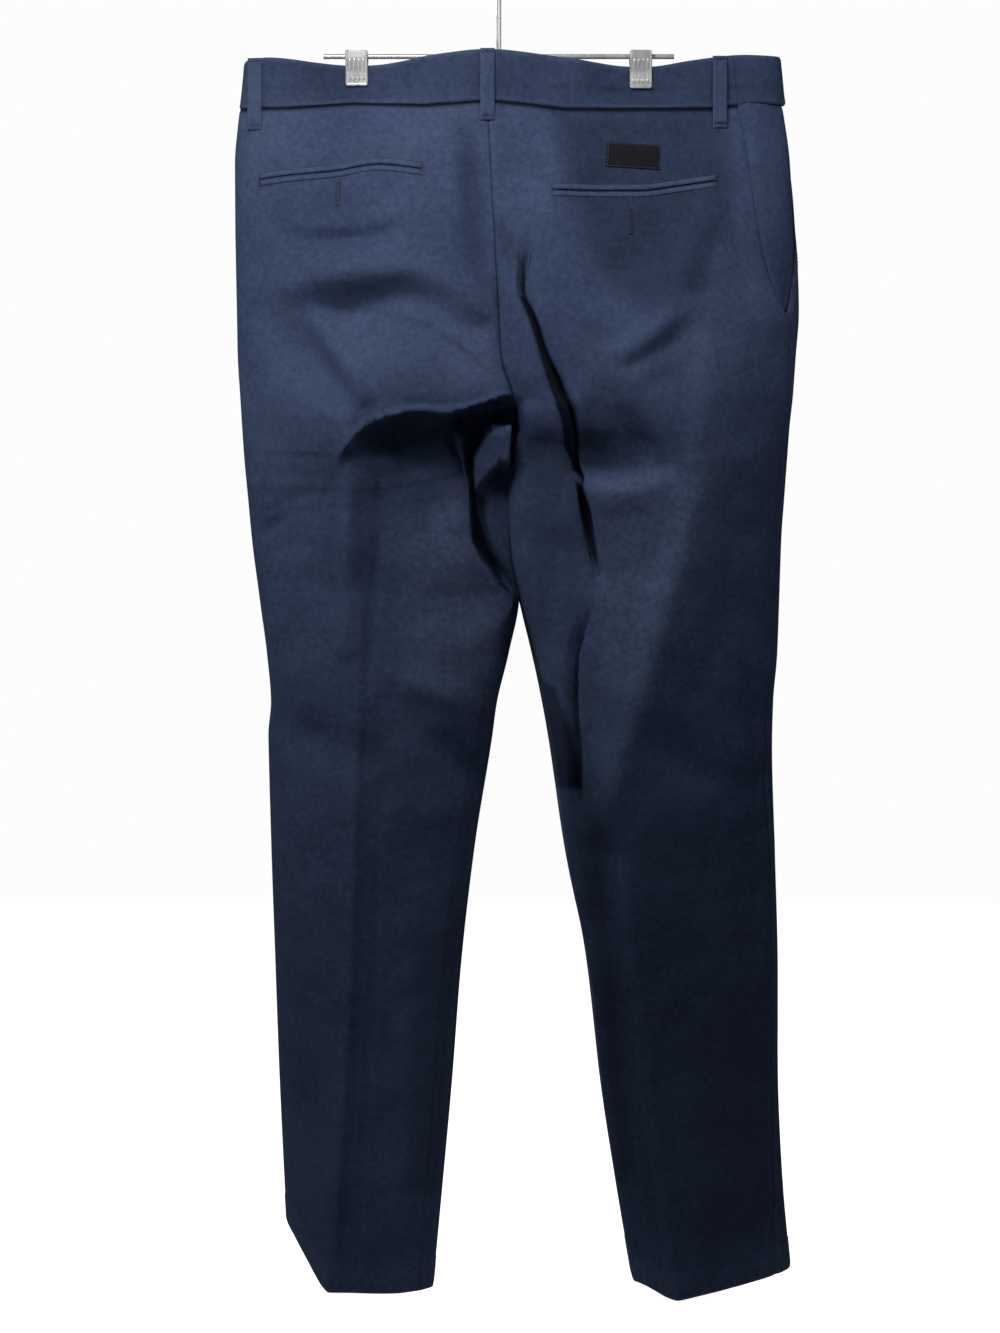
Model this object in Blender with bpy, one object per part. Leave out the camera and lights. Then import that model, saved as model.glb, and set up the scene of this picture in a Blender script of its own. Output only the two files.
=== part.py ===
"""Chino trousers hung by the waistband from a wire clip hanger, back towards -Y.

Tables are in millimetres; +X is the wearer's right, +Z is up, and the origin is the
underside of the hook's top, where the hanger is held. Each leg is one closed tube of
rounded sections, cut into its back and front panel at the side seam and the inseam.
"""

import itertools
import math
from collections import namedtuple

import bmesh
import bpy
import numpy as np
from mathutils import Vector
from mathutils.bvhtree import BVHTree

MM = 0.001

# Driving sizes
CLOTH = 1.6
BAND_CLOTH = 2.4
SEAM_GAP = 0.3
LAY_GAP = 0.45
FACING_GAP = 1.6
FACING_END = 4.0
FLY_GAP = 1.0
TRIM_CLOTH = 1.2
LOOP_WIDTH = 11.5
LOOP_LENGTH = 58.0
LOOP_TOP_DROP = 1.8
LOOP_BOW = (0.0, 1.28, 1.6, 1.6, 1.12, 0.0)
POCKET_WELT = 4.6
POCKET_SLIT = 0.7
FLY_WIDTH = 38.0
FLY_FOOT = 9.0
FLY_CURVE = 34.0
FLY_BOTTOM = -318.0
POCKET_BOTTOM = -322.0
WIRE = 4.0
BAR_Z = -114.0
BAR_HALF = 142.0
HOOK_RADIUS = 22.0
HOOK_NECK = -62.0
HOOK_TURN = math.radians(220.0)
HOOK_SLEEVE = 12.0
SLEEVE_RADIUS = 5.0
SLEEVE_SIDES = 16
CLIP_WIDTH = 18.0
CLIP_PLATE = 1.6
CLIP_LIP = 2.8
CLIP_RIBS = 4
CLIP_RIB = 0.7
BUTTON_PLACE = (-18.0, -131.0)
BUTTON_RADIUS = 8.5
BUTTON_DEPTH = 3.0

# Rows down the leg: close together over the seat, wider below the fork
SEAT_ROWS = (-153, -440, 17)
THIGH_ROWS = (-440, -556, 6)
LEG_ROWS = (-556, -1114, 15)
FORK_ROW = SEAT_ROWS[2]

Outline = namedtuple("Outline", "z side_z crease_z inner_z side_x side_y inner_x inner_y")
Back = namedtuple(
    "Back",
    "z side_turn crease_x crease_y crisp edge_x edge_y fold lap_x lap_y turn_x turn_y",
)
Front = namedtuple("Front", "z side_turn crease_x crease_y crisp turn_x turn_y inner_y")
Seam = namedtuple("Seam", "z place")
Fold = namedtuple("Fold", "route width depth lip")

LEFT_OUTLINE = [
    Outline(-153, -153, -153, -150, -210.5, 0, -9.3, -24),
    Outline(-200, -200, -200, -200, -215.0, 0, -6.8, -34),
    Outline(-260, -260, -260, -260, -215.2, 0, -3.4, -43),
    Outline(-320, -320, -320, -322, -214.8, 0, 0.0, -46),
    Outline(-355, -355, -355, -360, -214.5, 0, 3.4, -42),
    Outline(-385, -385, -385, -390, -213.0, 0, 9.5, -33),
    Outline(-415, -415, -415, -410, -211.5, 0, 12.0, -18),
    Outline(-440, -440, -440, -419, -210.0, 0, 12.0, 0),
    Outline(-470, -470, -470, -455, -207.5, 0, 11.6, 0),
    Outline(-505, -505, -505, -497, -204.6, 0, 11.8, 0),
    Outline(-556, -556, -556, -552, -198.6, 0, 15.6, 0),
    Outline(-600, -600, -600, -598, -193.5, 2, 8.5, 0),
    Outline(-640, -640, -640, -640, -190.7, 3, -1.5, -1),
    Outline(-670, -670, -670, -670, -193.4, 5, -5.6, -2),
    Outline(-760, -760, -760, -760, -192.6, 10, -20.0, -5),
    Outline(-860, -860, -860, -860, -191.2, 18, -31.5, -10),
    Outline(-960, -960, -960, -960, -189.6, 26, -39.4, -14),
    Outline(-1050, -1050, -1052, -1052, -187.4, 34, -47.8, -18),
    Outline(-1114, -1101, -1136, -1137, -186.0, 40, -56.0, -20),
]

RIGHT_OUTLINE = [
    Outline(-153, -153, -153, -150, 233.0, 0, -9.3, -24),
    Outline(-200, -200, -200, -200, 240.0, 0, -6.8, -34),
    Outline(-260, -260, -260, -260, 243.5, 0, -3.4, -43),
    Outline(-320, -320, -320, -322, 246.0, 0, 0.0, -46),
    Outline(-355, -355, -355, -360, 244.0, 0, 3.4, -42),
    Outline(-385, -385, -385, -390, 242.2, 0, 9.5, -33),
    Outline(-415, -415, -415, -410, 239.5, 0, 12.0, -18),
    Outline(-440, -440, -440, -419, 238.0, 0, 12.0, 0),
    Outline(-470, -470, -470, -455, 236.2, 0, 12.6, 0),
    Outline(-505, -505, -505, -497, 234.2, 0, 12.8, 0),
    Outline(-556, -556, -556, -552, 233.2, 0, 16.8, 0),
    Outline(-600, -600, -600, -598, 232.2, 0, 26.5, 0),
    Outline(-640, -640, -640, -640, 229.4, 0, 35.5, 0),
    Outline(-670, -670, -670, -670, 228.9, 0, 41.0, 0),
    Outline(-760, -760, -760, -760, 232.2, 0, 54.5, 0),
    Outline(-860, -860, -860, -860, 236.5, 2, 74.5, 2),
    Outline(-960, -960, -960, -960, 238.4, 5, 85.5, 5),
    Outline(-1050, -1050, -1050, -1050, 243.6, 8, 99.0, 8),
    Outline(-1114, -1133, -1140, -1126, 252.0, 10, 112.0, 10),
]

LEFT_BACK = [
    Back(-153, 14, -115, -17, 1.0, -70, -25, 1.0, -48, -26, -28, -25),
    Back(-200, 18, -120, -38, 1.0, -70, -40, 1.0, -46, -38, -24, -35),
    Back(-260, 22, -118, -58, 1.0, -66, -58, 1.0, -42, -52, -20, -46),
    Back(-320, 28, -112, -78, 1.0, -60, -76, 1.0, -34, -62, -16, -50),
    Back(-355, 32, -108, -87, 1.0, -54, -84, 1.0, -28, -66, -10, -50),
    Back(-385, 34, -106, -86, 1.0, -48, -82, 1.0, -22, -64, -2, -46),
    Back(-412, 34, -104, -72, 1.0, -40, -66, 0.8, -18, -54, 6, -38),
    Back(-440, 34, -102, -58, 0.8, -23, -58, 0.3, -15, -36, 11, -26),
    Back(-470, 34, -103, -57, 0.4, -21, -60, 0.25, -14, -34, 11.6, -24),
    Back(-505, 33, -106, -58, 0.2, -20, -60, 0.25, -12, -34, 11.8, -24),
    Back(-535, 32, -108, -60, 0.15, -8, -57, 0.35, 0, -38, 13.5, -24),
    Back(-556, 32, -110, -60, 0.15, 2, -52, 0.7, 10, -40, 15.6, -22),
    Back(-600, 31, -113, -60, 0.15, -20, -58, 1.0, -4, -48, 8.5, -26),
    Back(-640, 30, -117, -60, 0.12, -32, -58, 1.0, -14, -50, -1.5, -28),
    Back(-670, 30, -119, -60, 0.12, -36, -58, 1.0, -18, -50, -5.6, -28),
    Back(-760, 29, -122, -58, 0.12, -50, -58, 1.0, -32, -50, -20, -30),
    Back(-860, 28, -126, -54, 0.10, -62, -60, 1.0, -44, -54, -32.5, -34),
    Back(-960, 26, -132, -48, 0.10, -68, -63, 0.8, -52, -58, -40.8, -38),
    Back(-1050, 24, -139, -42, 0.08, -74, -66, 0.7, -60, -62, -49.5, -42),
    Back(-1114, 22, -146, -35, 0.08, -80, -67, 0.6, -67, -67, -57, -45),
]

RIGHT_BACK = [
    Back(-153, 14, 115, -17, 1.0, 60, -25, 1.0, 40, -26, 15, -25),
    Back(-200, 18, 118, -38, 1.0, 56, -38, 1.0, 36, -37, 14, -35),
    Back(-246, 21, 120, -52, 1.0, 48, -52, 1.0, 26, -46, 10, -41),
    Back(-276, 24, 121, -60, 1.0, 34, -61, 0.8, 20, -46, 8, -44),
    Back(-303, 26, 122, -66, 1.0, 30, -68, 0.5, 19, -46, 8, -45),
    Back(-330, 29, 122, -72, 1.0, 37, -74, 0.4, 26, -46, 12, -45),
    Back(-358, 32, 123, -76, 1.0, 47, -79, 0.35, 35, -47, 18, -43),
    Back(-389, 33, 124, -78, 1.0, 58, -81, 0.3, 46, -50, 26, -40),
    Back(-414, 33, 124, -77, 1.0, 65, -80, 0.3, 54, -52, 24, -40),
    Back(-440, 33, 124, -75, 1.0, 69, -78, 0.3, 59, -50, 15, -36),
    Back(-470, 33, 123, -73, 1.0, 76, -75, 0.3, 66, -50, 13, -32),
    Back(-505, 32, 122, -71, 1.0, 84, -72, 0.35, 74, -50, 13, -30),
    Back(-540, 32, 121, -69, 1.0, 88, -69, 0.6, 76, -52, 16, -28),
    Back(-556, 32, 120, -68, 1.0, 84, -67, 0.8, 72, -54, 17, -28),
    Back(-600, 31, 119, -66, 1.0, 74, -65, 0.5, 60, -48, 27, -28),
    Back(-640, 30, 118, -65, 0.8, 74, -64, 0.4, 62, -46, 36, -28),
    Back(-680, 30, 117, -64, 0.7, 78, -63, 0.4, 66, -44, 42, -28),
    Back(-712, 29, 117, -63, 0.6, 80, -61, 0.6, 68, -48, 47, -30),
    Back(-760, 28, 117, -63, 0.5, 92, -60, 1.0, 72, -52, 54.5, -30),
    Back(-860, 26, 122, -63, 0.4, 104, -60, 1.0, 88, -54, 74.5, -32),
    Back(-960, 24, 131, -65, 0.3, 114, -61, 1.0, 98, -54, 85.5, -32),
    Back(-1050, 22, 143, -67, 0.2, 128, -61, 1.0, 111, -52, 99, -30),
    Back(-1114, 20, 154, -70, 0.12, 138, -63, 1.0, 122, -52, 112, -28),
]

LEFT_FRONT = [
    Front(-153, 14, -112, 17, 1.0, -40, 27, 26),
    Front(-200, 18, -114, 34, 1.0, -40, 37, 35),
    Front(-260, 20, -114, 44, 0.8, -38, 46, 42),
    Front(-320, 26, -112, 52, 0.6, -30, 48, 40),
    Front(-355, 30, -111, 56, 0.5, -20, 46, 35),
    Front(-385, 32, -110, 58, 0.4, -6, 42, 26),
    Front(-415, 32, -109, 60, 0.4, 6, 38, 14),
    Front(-440, 32, -108, 61, 0.3, 11, 34, 0),
    Front(-505, 32, -108, 62, 0.3, 11.8, 32, 0),
    Front(-556, 32, -109, 63, 0.25, 15.6, 30, 0),
    Front(-640, 31, -110, 63, 0.2, -1.5, 30, -1),
    Front(-760, 30, -112, 64, 0.2, -20.0, 28, -5),
    Front(-960, 26, -114, 64, 0.15, -40.8, 20, -14),
    Front(-1114, 20, -108, 62, 0.12, -57.0, 12, -20),
]

RIGHT_FRONT = [
    Front(-153, 14, 112, 17, 1.0, 25, 27, 26),
    Front(-200, 18, 116, 34, 1.0, 25, 37, 35),
    Front(-260, 20, 118, 44, 0.8, 28, 46, 42),
    Front(-320, 26, 120, 52, 0.6, 30, 48, 40),
    Front(-355, 30, 120, 56, 0.5, 26, 46, 35),
    Front(-385, 32, 121, 58, 0.4, 24, 42, 26),
    Front(-415, 32, 122, 60, 0.4, 17, 38, 14),
    Front(-440, 32, 122, 61, 0.3, 13, 34, 0),
    Front(-505, 32, 123, 62, 0.3, 12.8, 32, 0),
    Front(-556, 32, 124, 62, 0.25, 16.8, 30, 0),
    Front(-640, 30, 125, 62, 0.2, 35.5, 30, 0),
    Front(-760, 28, 130, 62, 0.2, 54.5, 30, 0),
    Front(-960, 26, 148, 62, 0.15, 85.5, 32, 5),
    Front(-1114, 24, 168, 60, 0.12, 112.0, 32, 10),
]

# Where the side seam runs: 1 is a quarter of the way across the back, 0 the outer
# edge, -1 a quarter of the way across the front. The garment hangs a little turned.
LEFT_SEAM = [Seam(-153, -0.45), Seam(-330, -0.4), Seam(-700, -0.3), Seam(-1114, -0.15)]
RIGHT_SEAM = [
    Seam(-153, 0.83),
    Seam(-246, 0.78),
    Seam(-312, 0.66),
    Seam(-334, 0.46),
    Seam(-430, 0.40),
    Seam(-600, 0.30),
    Seam(-1000, 0.36),
    Seam(-1114, 0.55),
]

# The slant pocket's mouth on the same scale; it ends on the side seam
LEFT_MOUTH = [Seam(-153, -0.86), Seam(-255, -0.74), Seam(-300, -0.56), Seam(-322, -0.4)]
RIGHT_MOUTH = [Seam(-153, -0.35), Seam(-252, 0.0), Seam(-322, 0.56)]

# Folds seen from behind: a trough of that width and depth along its route, and a
# raised lip beside it, on the route's right-hand side where the lip is positive.
LEFT_FOLDS = [
    Fold([(-157, -257), (-114, -260), (-72, -252)], 5, 2.5, -1.0),
    Fold([(-164, -292), (-110, -284), (-62, -282), (-38, -304), (-8, -336)], 16, 7.0, -2.0),
    Fold([(-99, -318), (-58, -331), (-4, -370)], 5, 1.8, 1.5),
    Fold([(-186, -338), (-156, -360), (-125, -400)], 20, 6.0, 0.0),
    Fold([(-134, -447), (-104, -434), (-64, -424)], 8, 8.0, 3.0),
    Fold([(-78, -425), (-44, -420), (-6, -416)], 17, 12.0, 4.0),
    Fold([(-152, -405), (-150, -480), (-150, -590)], 14, -2.5, 0.0),
    Fold([(-19, -170), (-17, -260)], 12, 3.0, 0.0),
    Fold([(-9, -450), (-7, -505), (4, -540)], 9, 9.0, 0.0),
    Fold([(-190, -655), (-150, -668), (-100, -690)], 18, 3.5, 0.0),
    Fold([(-60, -655), (-30, -690), (-22, -720)], 14, 2.5, 1.0),
]

RIGHT_FOLDS = [
    Fold([(56, -672), (66, -690), (70, -706)], 9, 7.0, 0.0),
    Fold([(42, -240), (60, -272), (92, -300), (140, -288), (170, -240)], 16, 4.5, 0.0),
    Fold([(161, -331), (136, -347), (108, -364)], 7, 4.0, 2.0),
    Fold([(80, -380), (102, -410), (122, -432), (100, -444), (76, -448)], 12, 5.0, 2.5),
    Fold([(15, -392), (32, -412), (48, -434)], 6, -3.0, 0.0),
    Fold([(174, -322), (164, -429), (150, -520), (128, -600), (92, -700)], 16, -4.0, 0.0),
    Fold([(100, -640), (160, -682), (210, -712)], 22, 3.5, 0.0),
]

FRONT_FOLDS = [
    Fold([(0, -330), (-60, -352), (-120, -362)], 11, 4.0, 1.5),
    Fold([(14, -350), (70, -372), (130, -380)], 11, 4.5, 1.5),
    Fold([(10, -400), (60, -440), (100, -500)], 12, 4.0, 0.0),
    Fold([(6, -396), (-50, -430), (-90, -490)], 12, 4.0, 0.0),
    Fold([(-170, -660), (-110, -682), (-40, -668)], 16, 4.0, 0.0),
    Fold([(60, -690), (130, -706), (205, -690)], 16, 3.5, 0.0),
]

# The waistband's top edge, dipping where the clips pinch it
RIM_LINE = [
    (-207, -118),
    (-188, -116),
    (-150, -119.5),
    (-115, -121.5),
    (-78, -119),
    (-50, -115),
    (-9, -110.6),
    (45, -116.5),
    (78, -120),
    (115, -122.5),
    (155, -118.5),
    (200, -114),
    (227, -114.5),
]
RIM_INSET = 0.98
RIM_LEAN = 0.85
PINCH_HALF = 12.0
PINCH_FADE = 42.0
PINCHED = 3.2
PINCH_DEEP = 0.58
PINCH_COLUMNS = (-16.0, -9.5, 9.5, 16.0)
BAND_ROWS = (0.0, 0.3, PINCH_DEEP, 0.72, 0.86, 1.0)

# The waist seam's own rise and fall about the first row
SEAM_LINE = [
    (-210, -155.5),
    (-164, -155.0),
    (-115, -152.0),
    (-60, -154.5),
    (-9, -150.4),
    (55, -157.2),
    (125, -156.2),
    (172, -155.6),
    (208, -151.0),
    (229, -152.2),
]
SEAM_Z = -153.0

# Back pockets: the welts' top line, and each buttonhole's place
Pocket = namedtuple("Pocket", "side line")
POCKETS = [
    Pocket("left", [(-193, -209.3), (-165, -206.5), (-130, -204), (-95, -199), (-61, -202.7)]),
    Pocket("right", [(42, -219.6), (80, -220.3), (110, -220.2), (145, -215.6), (174.5, -211)]),
]

Clip = namedtuple("Clip", "side x bottom")
CLIPS = [Clip("left", -115.0, -138.0), Clip("right", 115.0, -140.0)]

Loop = namedtuple("Loop", "name x face")
LOOPS = [
    Loop("belt_loop_back_left", -197.0, "back"),
    Loop("belt_loop_back_centre", -9.0, "back"),
    Loop("belt_loop_back_right", 178.0, "back"),
    Loop("belt_loop_side_left", -185.0, "front"),
    Loop("belt_loop_front_left", -72.0, "front"),
    Loop("belt_loop_front_right", 74.0, "front"),
    Loop("belt_loop_side_right", 186.0, "front"),
]

LABEL_CENTRE = (107.5, -196.8)
LABEL_SIZE = (43.0, 20.0)
LABEL_TURN = math.radians(-3.0)


def clear_scene():
    for old in list(bpy.data.objects):
        bpy.data.objects.remove(old, do_unlink=True)


def smooth(t):
    t = np.clip(t, 0.0, 1.0)
    return t * t * (3.0 - 2.0 * t)


def glide(places, values, at):
    """Cubic through the values that never overshoots them; places may run either way."""
    places = np.asarray(places, float)
    values = np.asarray(values, float)
    if places[0] > places[-1]:
        places = places[::-1]
        values = values[::-1]
    step = np.diff(places)
    slope = np.diff(values) / step
    lean = np.zeros_like(values)
    same_way = slope[:-1] * slope[1:] > 0
    mean = 2.0 * slope[:-1] * slope[1:] / np.where(same_way, slope[:-1] + slope[1:], 1.0)
    lean[1:-1] = np.where(same_way, mean, 0.0)
    lean[0] = slope[0]
    lean[-1] = slope[-1]
    at = np.clip(at, places[0], places[-1])
    cell = np.clip(np.searchsorted(places, at) - 1, 0, len(step) - 1)
    width = step[cell]
    t = (at - places[cell]) / width
    rise = values[cell] * (1 + 2 * t) * (1 - t) ** 2 + values[cell + 1] * t * t * (3 - 2 * t)
    return rise + width * (lean[cell] * t * (1 - t) ** 2 - lean[cell + 1] * t * t * (1 - t))


def table_at(table, heights):
    """The table's columns, read smoothly at each height."""
    places = [row.z for row in table]
    kind = type(table[0])
    return kind(*(glide(places, [row[i] for row in table], heights) for i in range(len(kind._fields))))


def pair(x, y):
    return np.stack(np.broadcast_arrays(x, y), axis=-1)


def corner(before, tip, after, crisp, s):
    """A point at s of the way round a corner; crisp 1 is fully round and 0 is sharp."""
    crisp = np.asarray(crisp, float)[:, None]
    start = tip + (before - tip) * crisp
    end = tip + (after - tip) * crisp
    low = (1.0 - crisp) / 2.0
    t = np.clip((s - low) / np.maximum(crisp, 1e-6), 0.0, 1.0)
    bend = start * (1 - t) ** 2 + 2 * tip * t * (1 - t) + end * t * t
    into = before + (start - before) * np.clip(s / np.maximum(low, 1e-6), 0, 1)
    out = end + (after - end) * np.clip((s - 1 + low) / np.maximum(low, 1e-6), 0, 1)
    return np.where(s < low, into, np.where(s > 1 - low, out, bend))


def distance_to(route, x, z):
    """Distance to a fold's route, the side it lies on, and how near the route's ends."""
    route = np.asarray(route, float)
    best = np.full(x.shape, 1e9)
    hand = np.zeros(x.shape)
    place = np.zeros(x.shape)
    lengths = np.hypot(*np.diff(route, axis=0).T)
    total = lengths.sum()
    run = 0.0
    for start, end, length in zip(route[:-1], route[1:], lengths):
        way = (end - start) / length
        t = np.clip((x - start[0]) * way[0] + (z - start[1]) * way[1], 0, length)
        dx = x - start[0] - way[0] * t
        dz = z - start[1] - way[1] * t
        gap = np.hypot(dx, dz)
        nearer = gap < best
        best = np.where(nearer, gap, best)
        hand = np.where(nearer, way[1] * dx - way[0] * dz, hand)
        place = np.where(nearer, (run + t) / total, place)
        run += length
    return best, np.sign(hand) * best, place


def fold_depth(folds, x, z):
    """How far the folds move the cloth outwards at each point."""
    moved = np.zeros(x.shape)
    for fold in folds:
        gap, side, place = distance_to(fold.route, x, z)
        fade = 0.35 + 0.65 * smooth(4 * place) * smooth(4 * (1 - place))
        moved -= fold.depth * fade * np.exp(-((gap / fold.width) ** 2))
        if fold.lip:
            apart = side - math.copysign(2.0 * fold.width, fold.lip)
            moved += abs(fold.lip) * fade * np.exp(-((apart / (1.3 * fold.width)) ** 2)) * (gap < 60)
    return moved


def row_heights():
    runs = [np.linspace(top, end, count + 1) for top, end, count in (SEAT_ROWS, THIGH_ROWS, LEG_ROWS)]
    return np.concatenate([runs[0], runs[1][1:], runs[2][1:]])


def steps(count):
    return np.linspace(0.0, 1.0, count + 1)[1:]


def leg_tube(outline, back, front, seam, mouth, folds, front_folds):
    """One leg's outer surface as a grid: rows run down it, columns from the inner seam
    across the back to the side seam, then round the front to the inner seam again."""
    z = row_heights()
    edge = table_at(outline, z)
    rear = table_at(back, z)
    fore = table_at(front, z)
    seam_at = glide([s.z for s in seam], [s.place for s in seam], z)
    mouth_at = glide([s.z for s in mouth], [s.place for s in mouth], z)
    mouth_at = np.where((z < POCKET_BOTTOM) | (seam_at - mouth_at < 0.03), seam_at, mouth_at)
    hand = float(np.sign(edge.side_x[0] - edge.inner_x[0]))

    side = pair(edge.side_x, edge.side_y)
    rear_turn = pair(edge.side_x, edge.side_y - rear.side_turn)
    rear_crease = pair(rear.crease_x, rear.crease_y)
    rear_edge = pair(rear.edge_x, rear.edge_y)
    rear_lap = pair(rear.lap_x, rear.lap_y)
    rear_in = pair(rear.turn_x, rear.turn_y)
    inner = pair(edge.inner_x, edge.inner_y)
    fore_turn = pair(edge.side_x, edge.side_y + fore.side_turn)
    fore_crease = pair(fore.crease_x, fore.crease_y)
    fore_in = pair(fore.turn_x, fore.turn_y)
    fore_inner = pair(edge.inner_x, np.where(z > SEAT_ROWS[1], fore.inner_y, edge.inner_y))

    mid_rear = (rear_turn + rear_crease) / 2
    mid_fold = (rear_crease + rear_edge) / 2
    mid_edge = (rear_edge + rear_lap) / 2
    mid_strip = (rear_lap + rear_in) / 2
    mid_fore = (fore_turn + fore_crease) / 2
    mid_lap = (fore_crease + fore_in) / 2
    round_ = np.ones_like(z)

    def side_point(place):
        """On the outer edge: place 1 is mid_rear, 0 the very edge, -1 mid_fore."""
        t = np.abs(place)[:, None]
        rear_arc = side * (1 - t) ** 2 + 2 * rear_turn * t * (1 - t) + mid_rear * t * t
        fore_arc = side * (1 - t) ** 2 + 2 * fore_turn * t * (1 - t) + mid_fore * t * t
        return np.where(place[:, None] >= 0, rear_arc, fore_arc)

    columns = [inner]
    heights = [edge.inner_z]
    reach = edge.inner_x - rear.crease_x

    def level(point, to_inner):
        """Row height at a point: side height, then the crease's, then the inner seam's."""
        if to_inner:
            share = smooth((point[:, 0] - rear.crease_x) / reach)
            return edge.crease_z + (edge.inner_z - edge.crease_z) * share
        share = smooth((point[:, 0] - edge.side_x) / (rear.crease_x - edge.side_x))
        return edge.side_z + (edge.crease_z - edge.side_z) * share

    for s in steps(3):
        columns.append(corner(inner, rear_in, mid_strip, round_, s))
    for s in steps(3):
        columns.append(corner(mid_strip, rear_lap, mid_edge, 0.6 * round_, s))
    for s in steps(4):
        columns.append(corner(mid_edge, rear_edge, mid_fold, rear.fold, s))
    for s in steps(6):
        columns.append(corner(mid_fold, rear_crease, mid_rear, rear.crisp, s))
    heights += [level(p, i < len(columns) - 4) for i, p in enumerate(columns)][1:]
    for s in steps(6):
        point = side_point(1 + (seam_at - 1) * s)
        columns.append(point)
        heights.append(level(point, False))
    back_last = len(columns) - 1
    facing = []
    mouth_places = [seam_at + (mouth_at - seam_at) * share / 3 for share in range(4)]
    for place in (*mouth_places, mouth_at - 0.25):
        point = side_point(place)
        facing.append(np.column_stack([point, level(point, False)]))
    facing = np.stack(facing, axis=1)
    columns.append(side_point(mouth_at))
    heights.append(level(columns[-1], False))
    for s in steps(4):
        point = side_point(mouth_at + (-1 - mouth_at) * s)
        columns.append(point)
        heights.append(level(point, False))
    for s in steps(4):
        point = corner(mid_fore, fore_crease, mid_lap, fore.crisp, s)
        columns.append(point)
        heights.append(level(point, s > 0.6))
    for s in steps(3):
        point = corner(mid_lap, fore_in, fore_inner, round_, s)
        columns.append(point)
        heights.append(level(point, True))

    flat = np.stack(columns, axis=1)
    tall = np.stack(heights, axis=1)
    grid = np.dstack([flat[..., 0], flat[..., 1], tall])
    line_x, line_z = zip(*SEAM_LINE)
    fade = smooth(1 - (SEAM_Z - z) / 90.0)[:, None]
    for sheet in (grid, facing):
        sheet[..., 2] += fade * (np.interp(sheet[:1, :, 0], line_x, line_z) - SEAM_Z)
    joined = mouth_at == seam_at
    plain = tube_normals(grid, hand, back_last, joined)
    facing_out = smooth((-plain[..., 1] - 0.1) / 0.5)
    facing_front = smooth((plain[..., 1] - 0.1) / 0.5)
    moved = fold_depth(folds, grid[..., 0], grid[..., 2]) * facing_out
    moved += fold_depth(front_folds, grid[..., 0], grid[..., 2]) * facing_front
    grid += plain * (moved * smooth((SEAM_Z - grid[..., 2]) / 25.0))[..., None]
    return grid, back_last, joined, facing


def surface_normals(grid, hand):
    """Outward unit normals of a leg's grid."""
    down = np.gradient(grid, axis=0)
    across = np.gradient(grid, axis=1)
    normals = np.cross(down, across) * hand
    return unit(normals)


def unit(vectors):
    return vectors / np.maximum(np.linalg.norm(vectors, axis=-1, keepdims=True), 1e-9)


def tube_normals(grid, hand, last, joined):
    """Normals that two pieces share wherever they meet, so that their walls stay apart."""
    parts = [surface_normals(grid[:, : last + 1], hand), surface_normals(grid[:, last + 1 :], hand)]
    normals = np.concatenate(parts, axis=1)
    shared = unit(normals[:, last] + normals[:, last + 1])
    normals[joined, last] = shared[joined]
    normals[joined, last + 1] = shared[joined]
    closed = np.concatenate([grid[:, -2:-1], grid[:, :2]], axis=1)
    inseam = surface_normals(closed, hand)[:, 1]
    inseam[:, 1] = 0
    for column, turn in ((0, 1.0), (-1, -1.0)):
        run = np.gradient(grid[: FORK_ROW + 1, column], axis=0)
        centre = np.stack([0 * run[:, 0], run[:, 2] * turn, -run[:, 1] * turn], axis=-1)
        normals[: FORK_ROW + 1, column] = unit(centre)
        normals[FORK_ROW, column] = unit(np.array([-hand, 0.0, -1.0]))
        normals[FORK_ROW + 1 :, column] = unit(inseam)[FORK_ROW + 1 :]
    return normals


def wall(name, outer, inner, material, collection):
    """A closed wall between two grids of the same shape."""
    rows, columns = outer.shape[:2]
    points = np.concatenate([outer.reshape(-1, 3), inner.reshape(-1, 3)]) * MM
    back = rows * columns

    def at(row, column):
        return row * columns + column

    faces = []
    for r in range(rows - 1):
        for c in range(columns - 1):
            quad = (at(r, c), at(r + 1, c), at(r + 1, c + 1), at(r, c + 1))
            faces.append(quad)
            faces.append(tuple(back + i for i in reversed(quad)))
    rim = [at(0, c) for c in range(columns)]
    rim += [at(r, columns - 1) for r in range(1, rows)]
    rim += [at(rows - 1, c) for c in range(columns - 2, -1, -1)]
    rim += [at(r, 0) for r in range(rows - 2, 0, -1)]
    for here, there in zip(rim, rim[1:] + rim[:1]):
        faces.append((here, there, back + there, back + here))
    mesh = bpy.data.meshes.new(name)
    mesh.from_pydata(points.tolist(), [], faces)
    shape = bmesh.new()
    shape.from_mesh(mesh)
    bmesh.ops.triangulate(shape, faces=shape.faces)
    bmesh.ops.recalc_face_normals(shape, faces=shape.faces)
    if shape.calc_volume(signed=True) < 0:
        bmesh.ops.reverse_faces(shape, faces=shape.faces)
    shape.to_mesh(mesh)
    shape.free()
    return add_object(name, mesh, material, collection)


def add_object(name, mesh, material, collection):
    mesh.shade_smooth()
    mesh.set_sharp_from_angle(angle=math.radians(50))
    made = bpy.data.objects.new(name, mesh)
    made.data.materials.append(material)
    collection.objects.link(made)
    return made


def material(name, colour, roughness, metallic=0.0):
    made = bpy.data.materials.new(name)
    made.use_nodes = True
    shader = made.node_tree.nodes["Principled BSDF"]
    shader.inputs["Base Color"].default_value = (*colour, 1.0)
    shader.inputs["Roughness"].default_value = roughness
    shader.inputs["Metallic"].default_value = metallic
    return made


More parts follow.
